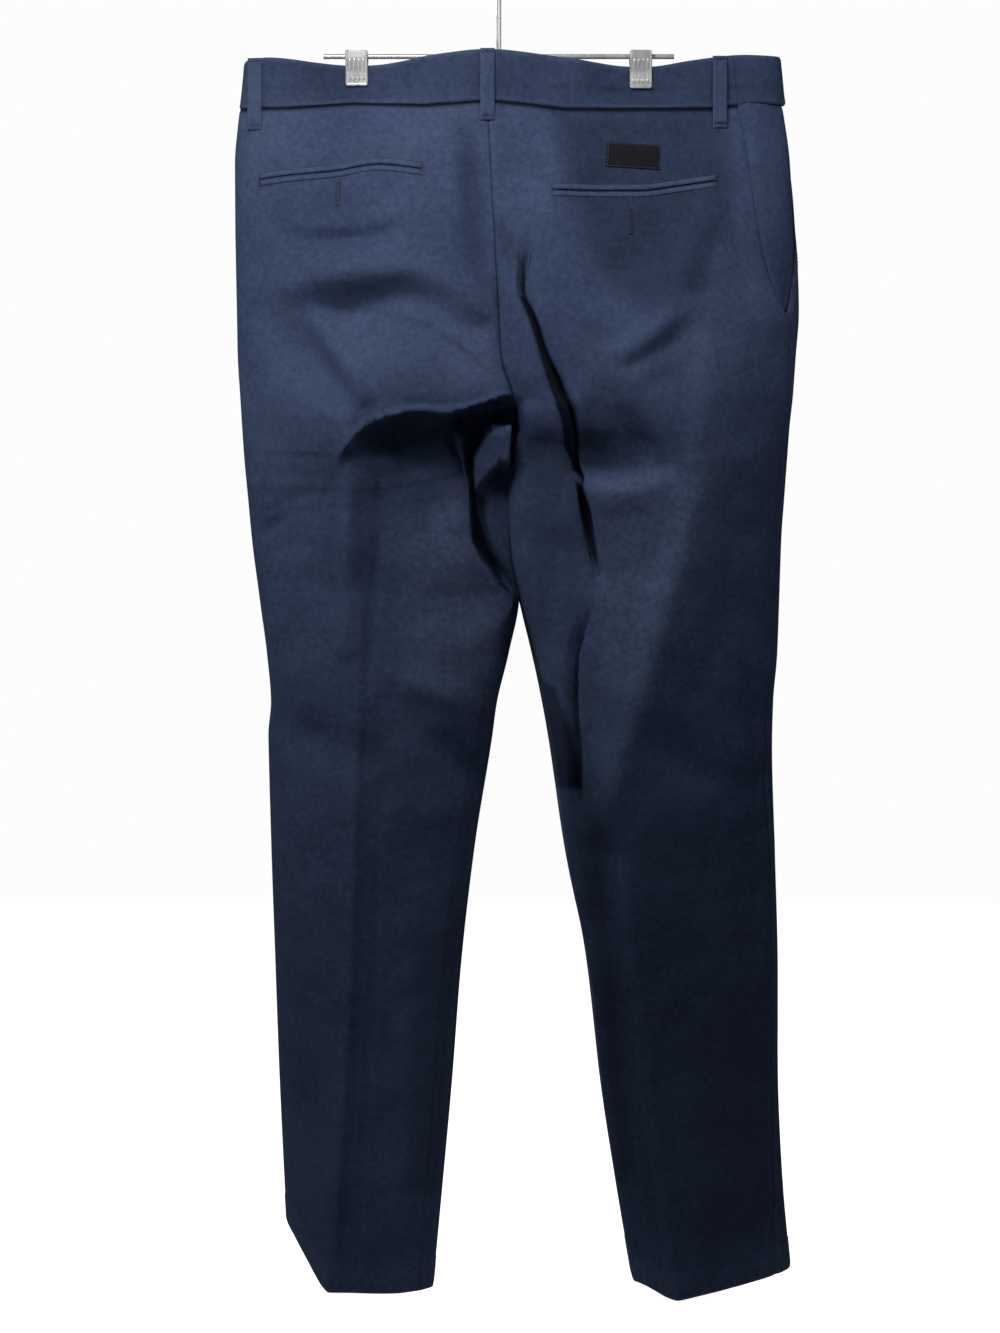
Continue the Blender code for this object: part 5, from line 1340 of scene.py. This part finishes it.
def make_button(cover, plastic):
    """A dished four-hole button on the front waistband."""
    centre_x, centre_z = BUTTON_PLACE
    spots = [cover.at(centre_x + dx, centre_z + dz, "front") for dx in (-8, 0, 8) for dz in (-8, 0, 8)]
    back = max(spots) + 0.3
    radii = np.append(np.linspace(0.05, 0.74, 22), [0.78, 0.82, 0.87, 0.92, 0.96, 0.985, 1.0])[:, None]
    turns = np.linspace(0, 2 * math.pi, 73)
    x = radii * BUTTON_RADIUS * np.cos(turns)
    z = radii * BUTTON_RADIUS * np.sin(turns)
    rise = 2.0 + 0.9 * smooth((radii - 0.72) / 0.12) - 1.1 * smooth((radii - 0.93) / 0.07) * (radii > 0.9)
    for hole_x, hole_z in BUTTON_HOLES:
        rise = rise - 1.7 * bell(np.hypot(x - hole_x, z - hole_z), 0.85, 4)
    outer = np.dstack([centre_x + x, back + rise, centre_z + z])
    inner = outer.copy()
    inner[..., 1] = back
    mesh = wall_mesh("waist_button", outer, inner, 0.0)
    shape = bmesh.new()
    shape.from_mesh(mesh)
    bmesh.ops.remove_doubles(shape, verts=shape.verts, dist=0.00002)
    shape.to_mesh(mesh)
    shape.free()
    return add_piece(mesh, plastic, ["waist_button"])


def feed(tree, node, inputs):
    """Sets a node's inputs by name or number, each to a value or to another node's output."""
    for label, value in inputs.items():
        if isinstance(value, bpy.types.NodeSocket):
            tree.links.new(value, node.inputs[label])
        else:
            node.inputs[label].default_value = value


def add_node(tree, kind, output, inputs, **settings):
    """A new node's output, once the node has its settings and its inputs."""
    made = tree.nodes.new(kind)
    for label, value in settings.items():
        setattr(made, label, value)
    feed(tree, made, inputs)
    return made.outputs[output]


def thread_tree(name, sizes, lay):
    """A geometry tree with named sizes that lays thread along each line of a mesh of edges."""
    tree = bpy.data.node_groups.new(name, "GeometryNodeTree")
    socket = tree.interface.new_socket
    socket("Geometry", in_out="INPUT", socket_type="NodeSocketGeometry")
    for label, value in sizes.items():
        socket(label, in_out="INPUT", socket_type="NodeSocketFloat").default_value = value * MM
    socket("Thread Material", in_out="INPUT", socket_type="NodeSocketMaterial")
    socket("Geometry", in_out="OUTPUT", socket_type="NodeSocketGeometry")
    given = tree.nodes.new("NodeGroupInput").outputs
    line = add_node(tree, "GeometryNodeMeshToCurve", "Curve", {"Mesh": given["Geometry"]})
    real = add_node(tree, "GeometryNodeRealizeInstances", "Geometry", {"Geometry": lay(tree, given, line)})
    soft = add_node(tree, "GeometryNodeSetShadeSmooth", "Geometry", {"Geometry": real})
    inputs = {"Geometry": soft, "Material": given["Thread Material"]}
    coloured = add_node(tree, "GeometryNodeSetMaterial", "Geometry", inputs)
    feed(tree, tree.nodes.new("NodeGroupOutput"), {"Geometry": coloured})
    return tree


def running_stitches(tree, given, line):
    """Short raised stitches laid end to end, no two quite alike."""
    inputs = {"Curve": line, "Length": given["Pitch"]}
    spots = add_node(tree, "GeometryNodeCurveToPoints", "Points", inputs, mode="LENGTH")
    inputs = {"Vector": spots.node.outputs["Tangent"]}
    turn = add_node(tree, "FunctionNodeAlignRotationToVector", "Rotation", inputs, axis="Z")
    inputs = {"Segments": 6, "Rings": 5, "Radius": 1.0}
    stitch = add_node(tree, "GeometryNodeMeshUVSphere", "Mesh", inputs)
    inputs = {"X": given["Thread Radius"], "Y": given["Thread Radius"], "Z": given["Half Length"]}
    size = add_node(tree, "ShaderNodeCombineXYZ", "Vector", inputs)
    inputs = {"Min": STITCH_SMALL, "Max": STITCH_LARGE, "Seed": STITCH_SEED}
    uneven = add_node(tree, "FunctionNodeRandomValue", 0, inputs, data_type="FLOAT_VECTOR")
    scale = add_node(tree, "ShaderNodeVectorMath", "Vector", {0: size, 1: uneven}, operation="MULTIPLY")
    inputs = {"Points": spots, "Instance": stitch, "Rotation": turn, "Scale": scale}
    return add_node(tree, "GeometryNodeInstanceOnPoints", "Instances", inputs)


def satin_thread(tree, given, line):
    """One round thread along the line, as in a bar tack or a buttonhole."""
    inputs = {"Resolution": 5, "Radius": given["Thread Radius"]}
    section = add_node(tree, "GeometryNodeCurvePrimitiveCircle", "Curve", inputs)
    inputs = {"Curve": line, "Profile Curve": section, "Fill Caps": True}
    return add_node(tree, "GeometryNodeCurveToMesh", "Mesh", inputs)


def shader_of(name, inputs):
    """A new material with its node tree and its main shader, whose plain inputs are set."""
    made = bpy.data.materials.new(name)
    made.use_nodes = True
    shader = made.node_tree.nodes["Principled BSDF"]
    feed(made.node_tree, shader, inputs)
    return made, made.node_tree, shader


def mixed(tree, share, low, high):
    """A colour between two by a share; each is a colour or another node's output."""
    ends = [end if isinstance(end, bpy.types.NodeSocket) else (*end, 1.0) for end in (low, high)]
    inputs = {"A": ends[0], "B": ends[1], "Factor": share}
    return add_node(tree, "ShaderNodeMix", "Result", inputs, data_type="RGBA")


def ranged(tree, value, low, high, to_low, to_high):
    """A value brought from one range to another, and held inside it."""
    inputs = {"Value": value, "From Min": low, "From Max": high, "To Min": to_low, "To Max": to_high}
    return add_node(tree, "ShaderNodeMapRange", "Result", inputs)


def noise(tree, vector, scale, detail, rough=0.5, twist=0.0):
    """Cloudy unevenness, from 0 to 1."""
    inputs = {"Vector": vector, "Scale": scale, "Detail": detail, "Roughness": rough, "Distortion": twist}
    return add_node(tree, "ShaderNodeTexNoise", "Fac", inputs)


def maths(tree, operation, first, second):
    return add_node(tree, "ShaderNodeMath", "Value", {0: first, 1: second}, operation=operation)


def bumped(tree, height, distance, strength, after=None):
    """A bump laid over the bump before it, if there is one."""
    inputs = {"Height": height, "Distance": distance, "Strength": strength}
    if after is not None:
        inputs["Normal"] = after
    return add_node(tree, "ShaderNodeBump", "Normal", inputs)


def object_place(tree):
    return add_node(tree, "ShaderNodeTexCoord", "Object", {})


def cloth_run(tree):
    return add_node(tree, "ShaderNodeUVMap", "UV", {}, uv_map="cloth_run")


def twill_material():
    """Navy cotton twill: diagonal ribs, uneven yarn, washed edges and a little lint, with painted shade and
    painted light carried by the same attribute as the wear.
    """
    inputs = {"Roughness": 0.86, "Specular IOR Level": 0.04, "Sheen Weight": 0.02}
    made, tree, shader = shader_of("navy_cotton_twill", inputs)
    feed(tree, shader, {"Sheen Roughness": 0.45, "Sheen Tint": (0.55, 0.65, 0.9, 1.0)})
    run = cloth_run(tree)
    place = object_place(tree)
    slant = add_node(tree, "ShaderNodeMapping", "Vector", {"Vector": run, "Rotation": (0.0, 0.0, RIB_TURN)})
    inputs = {"Vector": slant, "Scale": RIB_SCALE, "Distortion": 1.3, "Detail": 1.0, "Detail Scale": 2.0}
    ribs = add_node(tree, "ShaderNodeTexWave", "Fac", inputs)
    yarn = add_node(tree, "ShaderNodeMapping", "Vector", {"Vector": run, "Scale": YARN_SCALE})
    slubs = noise(tree, yarn, 1.0, 2.0)
    patches = noise(tree, place, 9.0, 3.0, 0.55)
    mottle = noise(tree, place, 210.0, 5.0, 0.65)
    crumple = noise(tree, place, 34.0, 3.0)
    wear_and_shade = add_node(tree, "ShaderNodeAttribute", "Fac", {}, attribute_name="wear_and_shade")

    tone = ranged(tree, patches, 0.3, 0.7, 0.15, 0.75)
    layers = ((mottle, 0.3, 0.7, -0.34, 0.34), (slubs, 0.3, 0.7, -0.16, 0.16))
    for layer in (*layers, (ribs, 0.0, 1.0, -0.16, 0.14)):
        tone = maths(tree, "ADD", tone, ranged(tree, *layer))
    colour = mixed(tree, tone, NAVY_DARK, NAVY_LIGHT)
    # Above zero the cloth fades: rubbing at edges and hems, and painted light on patches of the back panels
    rubbed = maths(tree, "MULTIPLY", wear_and_shade, ranged(tree, mottle, 0.3, 0.7, 0.4, 1.3))
    colour = mixed(tree, ranged(tree, rubbed, 0.0, 1.0, 0.0, 0.6), colour, NAVY_FADED_AND_LIT)
    # Below zero the cloth darkens towards near-black: darker seams, the waistband a little darker all over,
    # and painted shade under the waistband, in the welts' slits and on patches of the back panels
    colour = mixed(tree, ranged(tree, wear_and_shade, -0.1, -1.2, 0.0, 0.95), colour, NAVY_SEAM_AND_SHADE)

    specks = add_node(tree, "ShaderNodeTexVoronoi", "Distance", {"Vector": place, "Scale": 46.0})
    each = add_node(tree, "ShaderNodeSeparateColor", "Red", {"Color": specks.node.outputs["Color"]})
    few = maths(tree, "GREATER_THAN", each, 0.8)
    lint = maths(tree, "MULTIPLY", ranged(tree, specks, 0.022, 0.012, 0.0, 1.0), few)
    colour = mixed(tree, maths(tree, "MULTIPLY", lint, 0.55), colour, LINT)

    normal = bumped(tree, crumple, 0.004, 0.6)
    normal = bumped(tree, mottle, 0.0007, 0.6, normal)
    normal = bumped(tree, maths(tree, "ADD", ribs, slubs), 0.00012, 0.8, normal)
    feed(tree, shader, {"Base Color": colour, "Normal": normal})
    return made


def thread_material(name, colour):
    """Twisted sewing thread."""
    made, tree, shader = shader_of(name, {"Roughness": 0.6, "Sheen Weight": 0.2})
    tone = noise(tree, object_place(tree), 700.0, 2.0)
    dark = tuple(c * 0.6 for c in colour)
    colour = mixed(tree, tone, dark, colour)
    feed(tree, shader, {"Base Color": colour, "Normal": bumped(tree, tone, 0.0002, 0.6)})
    return made


def label_material():
    """Plain black woven label."""
    made, tree, shader = shader_of("black_woven_label", {"Roughness": 0.7, "Specular IOR Level": 0.12})
    inputs = {"Vector": cloth_run(tree), "Scale": 620.0, "Distortion": 0.6}
    weave = add_node(tree, "ShaderNodeTexWave", "Fac", inputs, bands_direction="Y")
    colour = mixed(tree, weave, (0.002, 0.002, 0.004), (0.008, 0.008, 0.012))
    feed(tree, shader, {"Base Color": colour, "Normal": bumped(tree, weave, 0.00012, 0.7)})
    return made


def steel_material():
    """Bright nickel-plated steel with fine drawn scratches."""
    made, tree, shader = shader_of("nickel_plated_steel", {"Metallic": 0.35})
    place = object_place(tree)
    drawn = add_node(tree, "ShaderNodeMapping", "Vector", {"Vector": place, "Scale": SCRATCH_SCALE})
    scratches = noise(tree, drawn, 1.0, 3.0)
    smears = noise(tree, place, 90.0, 3.0)
    rough = ranged(tree, smears, 0.3, 0.7, 0.22, 0.38)
    colour = mixed(tree, smears, (0.27, 0.275, 0.28), (0.42, 0.425, 0.43))
    normal = bumped(tree, scratches, 0.00003, 0.5)
    feed(tree, shader, {"Base Color": colour, "Roughness": rough, "Normal": normal})
    return made


def button_material():
    """Dark navy resin with a faint cloudy swirl."""
    made, tree, shader = shader_of("navy_resin_button", {"Roughness": 0.3})
    swirl = noise(tree, object_place(tree), 160.0, 3.0, twist=1.6)
    colour = mixed(tree, swirl, (0.008, 0.010, 0.02), (0.03, 0.036, 0.06))
    feed(tree, shader, {"Base Color": colour, "Normal": bumped(tree, swirl, 0.0001, 0.2)})
    return made


def placed(name, data):
    """A new object of the scene."""
    made = bpy.data.objects.new(name, data)
    bpy.context.scene.collection.objects.link(made)
    return made


def lamp(name, colour, away, turn, up, power):
    """A square soft lamp: its distance, turn and height angle about the cloth, and power."""
    turn = math.radians(turn)
    up = math.radians(up)
    way = Vector((math.sin(turn) * math.cos(up), -math.cos(turn) * math.cos(up), math.sin(up)))
    data = bpy.data.lights.new(name, "AREA")
    data.shape = "SQUARE"
    data.size = LAMP_SIZE
    data.energy = power
    data.color = colour
    light = placed(name, data)
    light.location = Vector(LAMP_AIM) + way * away
    light.rotation_euler = (-way).to_track_quat("-Z", "Y").to_euler()


def make_studio():
    """A pale floor, soft lamps in front and behind, and a white surround."""
    mesh = bpy.data.meshes.new("studio_floor")
    corners = [(x * FLOOR_HALF, y * FLOOR_HALF, FLOOR_Z) for x, y in ((-1, -1), (1, -1), (1, 1), (-1, 1))]
    mesh.from_pydata(corners, [], [(0, 1, 2, 3)])
    floor = placed("studio_floor", mesh)
    inputs = {"Base Color": (0.8, 0.8, 0.8, 1.0), "Roughness": 0.9, "Emission Color": (1.0, 1.0, 1.0, 1.0)}
    paper, tree, shader = shader_of("pale_paper", inputs)
    seen = add_node(tree, "ShaderNodeLightPath", "Is Camera Ray", {})
    feed(tree, shader, {"Emission Strength": seen})
    mesh.materials.append(paper)
    for name, colour, place in LAMPS:
        lamp(name, colour, *place)

    # The eye sees a white surround, and only a faint blue light comes from it
    world = bpy.data.worlds.new("white_surround")
    bpy.context.scene.world = world
    world.use_nodes = True
    tree = world.node_tree
    seen = tree.nodes.new("ShaderNodeLightPath").outputs
    white = tree.nodes["Background"]
    feed(tree, white, {"Color": (0.98, 0.98, 0.985, 1.0)})
    mirrored = ranged(tree, seen["Is Glossy Ray"], 0.0, 1.0, AMBIENT, MIRRORED)
    inputs = {"Color": (0.6, 0.75, 1.0, 1.0), "Strength": mirrored}
    glow = add_node(tree, "ShaderNodeBackground", "Background", inputs)
    inputs = {"Fac": seen["Is Camera Ray"], 1: glow, 2: white.outputs["Background"]}
    both = add_node(tree, "ShaderNodeMixShader", "Shader", inputs)
    feed(tree, tree.nodes["World Output"], {"Surface": both})
    bpy.context.scene.view_settings.view_transform = "Standard"


def make_camera():
    """The view from behind the garment, a little above its middle."""
    data = bpy.data.cameras.new("front_camera")
    data.sensor_fit = "VERTICAL"
    data.sensor_height = SENSOR
    data.lens = LENS
    camera = placed("front_camera", data)
    camera.location = CAMERA_PLACE
    camera.rotation_euler = (math.radians(90 - CAMERA_DIP), 0, 0)
    bpy.context.scene.camera = camera


def sewn(name, routes, tree, thread, slot="navy_twill", **sizes):
    """A piece of stitching: a tree run along the routes, then made a plain mesh."""
    points = []
    edges = []
    for route in routes:
        start = len(points)
        points += [tuple(np.asarray(p, float) * MM) for p in route]
        edges += [(start + i, start + i + 1) for i in range(len(route) - 1)]
    lines = bpy.data.meshes.new(f"{name}_lines")
    lines.from_pydata(points, edges, [])
    source = placed(f"{name}_lines", lines)
    sewing = source.modifiers.new("stitches", "NODES")
    sewing.node_group = tree
    inputs = {item.name: item.identifier for item in tree.interface.items_tree if item.in_out == "INPUT"}
    sewing[inputs["Thread Material"]] = thread
    for label, value in sizes.items():
        sewing[inputs[label.replace("_", " ")]] = value * MM
    graph = bpy.context.evaluated_depsgraph_get()
    mesh = bpy.data.meshes.new_from_object(source.evaluated_get(graph), depsgraph=graph)
    mesh.name = name
    bpy.data.objects.remove(source, do_unlink=True)
    made = placed(name, mesh)
    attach(made, "root")


def level_line(panel, measure, at, columns, lift):
    """Where a measure, such as the distance up from the hem, passes a value in each column."""
    route = []
    for c in columns:
        run = measure[:, c]
        order = np.argsort(run)
        over = panel.outer[order, c] + lift * panel.lean[order, c]
        route.append([np.interp(at, run[order], over[:, k]) for k in range(3)])
    return route


def zigzag(start, end, width, pitch):
    """A satin bar's thread in the plane of the cloth: start and end are (x, z) in mm."""
    start = np.asarray(start, float)
    end = np.asarray(end, float)
    length = np.linalg.norm(end - start)
    way = (end - start) / length
    side = np.array([-way[1], way[0]]) * width / 2
    turns = max(int(length / pitch), 2)
    return [start + way * length * i / turns + side * (1 if i % 2 else -1) for i in range(turns + 1)]


def on_cloth(places, cover, face, lift):
    """Points laid on the cloth at (x, z) places."""
    found = [(x, cover.at(x, z, face), z) for x, z in places]
    return [(x, y + way_of(face) * lift, z) for x, y, z in found if not math.isnan(y)]


def stitch_panels(legs, running, thread):
    """The hems' stitching, and the row beside each slant pocket's mouth."""
    hems = []
    mouths = []
    for panels, mouth_open in legs.values():
        for panel in panels.values():
            columns = range(1, panel.outer.shape[1] - 1)
            hems.append(level_line(panel, panel.up, HEM_DEPTH - 0.2, columns, 0.1))
        front = panels["front"]
        rows = [r for r in range(6, len(front.outer)) if mouth_open[r] and front.across[r, -1] > 20]
        over = front.outer + 0.1 * front.lean
        places = [(front.across[r], over[r].T) for r in rows]
        mouths.append([[np.interp(MOUTH_STITCH, across, run) for run in runs] for across, runs in places])
    sewn("hem_stitching", hems, running, thread)
    sewn("pocket_mouth_stitching", mouths, running, thread)


def stitch_loops(loops, running, satin, thread):
    """Two rows down each belt loop, and a bar tack across each of its ends."""
    rows = []
    tacks = []
    for (_, outer, across, down), loop in zip(loops, LOOPS):
        way = way_of(loop.face)
        for share in (-0.7, 0.7):
            column = int(np.argmin(np.abs(across - share)))
            rows.append(list(outer[3:-4, column] + np.array([0.0, way * 0.12, 0.0])))
        for place in TACK_PLACES:
            base = outer[int(np.argmin(np.abs(down - place)))]
            shares = [-TACK_HALF + 2 * TACK_HALF * i / TACK_TURNS for i in range(TACK_TURNS + 1)]
            x, y = (np.interp(shares, across, base[:, k]) for k in (0, 1))
            z = base[0, 2] + np.where(np.arange(TACK_TURNS + 1) % 2, 0.9, -0.9)
            tacks.append(list(zip(x, y + way * 0.22, z)))
    sewn("belt_loop_stitching", rows, running, thread)
    sewn("belt_loop_tacks", tacks, satin, thread, Thread_Radius=0.2)


def stitch_pockets(cover, running, satin, thread):
    """A row above and below each pair of welts, their end tacks, and the buttonholes."""
    edges = []
    satins = []
    for pocket in POCKETS:
        line_x, line_z = zip(*pocket.line)
        tall = 2 * WELT + WELT_SLIT
        for offset in (1.2, -tall - 1.2):
            xs = np.linspace(line_x[0] - 0.5, line_x[-1] + 0.5, 100)
            places = list(zip(xs, glide(line_x, line_z, xs) + offset))
            edges.append(on_cloth(places, cover, "back", 0.08))
        for end, inset in ((0, 0.3), (-1, -0.3)):
            x = line_x[end] + inset
            places = zigzag((x, line_z[end] - 0.6), (x, line_z[end] - tall + 0.6), 2.0, 0.32)
            satins.append([(px, cover.at(px, pz, "back") - 1.3, pz) for px, pz in places])
        hole_x, top, foot = pocket.hole_x, pocket.hole_top, pocket.hole_end
        for x in (hole_x - 1.3, hole_x + 1.3):
            satins.append(on_cloth(zigzag((x, top), (x, foot), 1.5, 0.34), cover, "back", 0.25))
        for z in (top, foot):
            bar = zigzag((hole_x - 2.4, z), (hole_x + 2.4, z), 1.8, 0.34)
            satins.append(on_cloth(bar, cover, "back", 0.3))
    sewn("back_pocket_stitching", edges, running, thread)
    sewn("back_pocket_tacks", satins, satin, thread, Thread_Radius=0.2)


def stitch_label(grid, running):
    """One row of stitches round the label, inside its edge."""
    rows, columns = grid.shape[:2]
    left = int(columns * 0.08)
    right = columns - left
    top = 2
    foot = rows - 3
    places = [(top, c) for c in range(left, right)] + [(r, right) for r in range(top, foot)]
    places += [(foot, c) for c in range(right, left, -1)] + [(r, left) for r in range(foot, top - 1, -1)]
    black = thread_material("black_thread", BLACK_THREAD)
    round_row = [grid[r, c] + np.array([0, -0.1, 0]) for r, c in places]
    sewn("label_stitching", [round_row], running, black, "black_label")


def stitch_fly(lap, running, thread):
    """A row at the lap's edge, and the curved row that holds it down."""
    cover = Cover([lap])
    rows = []
    for at_edge in (True, False):
        line = []
        for z in np.linspace(SEAT_TOP - 4, FLY_BOTTOM + 4, 90):
            width = min(2.0 if at_edge else fly_width(z) - 4.0, fly_width(z) - 1.0)
            line.append((centre_front(z) + FLY_LAP - width, z))
        rows.append(on_cloth(line, cover, "front", 0.1))
    sewn("fly_stitching", rows, running, thread)


def main():
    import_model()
    twill = twill_material()
    thread = thread_material("navy_thread", NAVY_THREAD)
    legs = {}
    bands = {}
    facings = {}
    for side, leg in (("left", LEFT_LEG), ("right", RIGHT_LEG)):
        panels, lower, seam_point, under, seam_normals, mouth_open = make_leg(side, leg, twill)
        legs[side] = (panels, mouth_open)
        bands[side] = make_waistband(side, lower, seam_point, twill)
        facings[side] = make_facing(side, under, seam_normals, mouth_open, twill)
    cloth = [panel.piece for panels, _ in legs.values() for panel in panels.values()]
    cloth += [piece for halves in bands.values() for piece, _ in halves.values()]
    cloth += [piece for piece, _ in facings.values()]
    cover = Cover(cloth)
    loops = [make_loop(loop, cover, twill) for loop in LOOPS]
    welts = [make_welts(pocket, cover, twill) for pocket in POCKETS]
    label = make_label(cover, label_material())
    fly = make_fly(cover, twill)
    make_button(cover, button_material())
    make_hanger(steel_material())
    make_studio()
    make_camera()

    sizes = {"Pitch": STITCH_PITCH, "Half Length": STITCH / 2, "Thread Radius": THREAD}
    running = thread_tree("running_stitch", sizes, running_stitches)
    satin = thread_tree("satin_thread", {"Thread Radius": THREAD}, satin_thread)
    stitch_panels(legs, running, thread)
    stitch_loops(loops, running, satin, thread)
    stitch_pockets(cover, running, satin, thread)
    stitch_label(label[1], running)
    stitch_fly(fly[0], running, thread)


main()
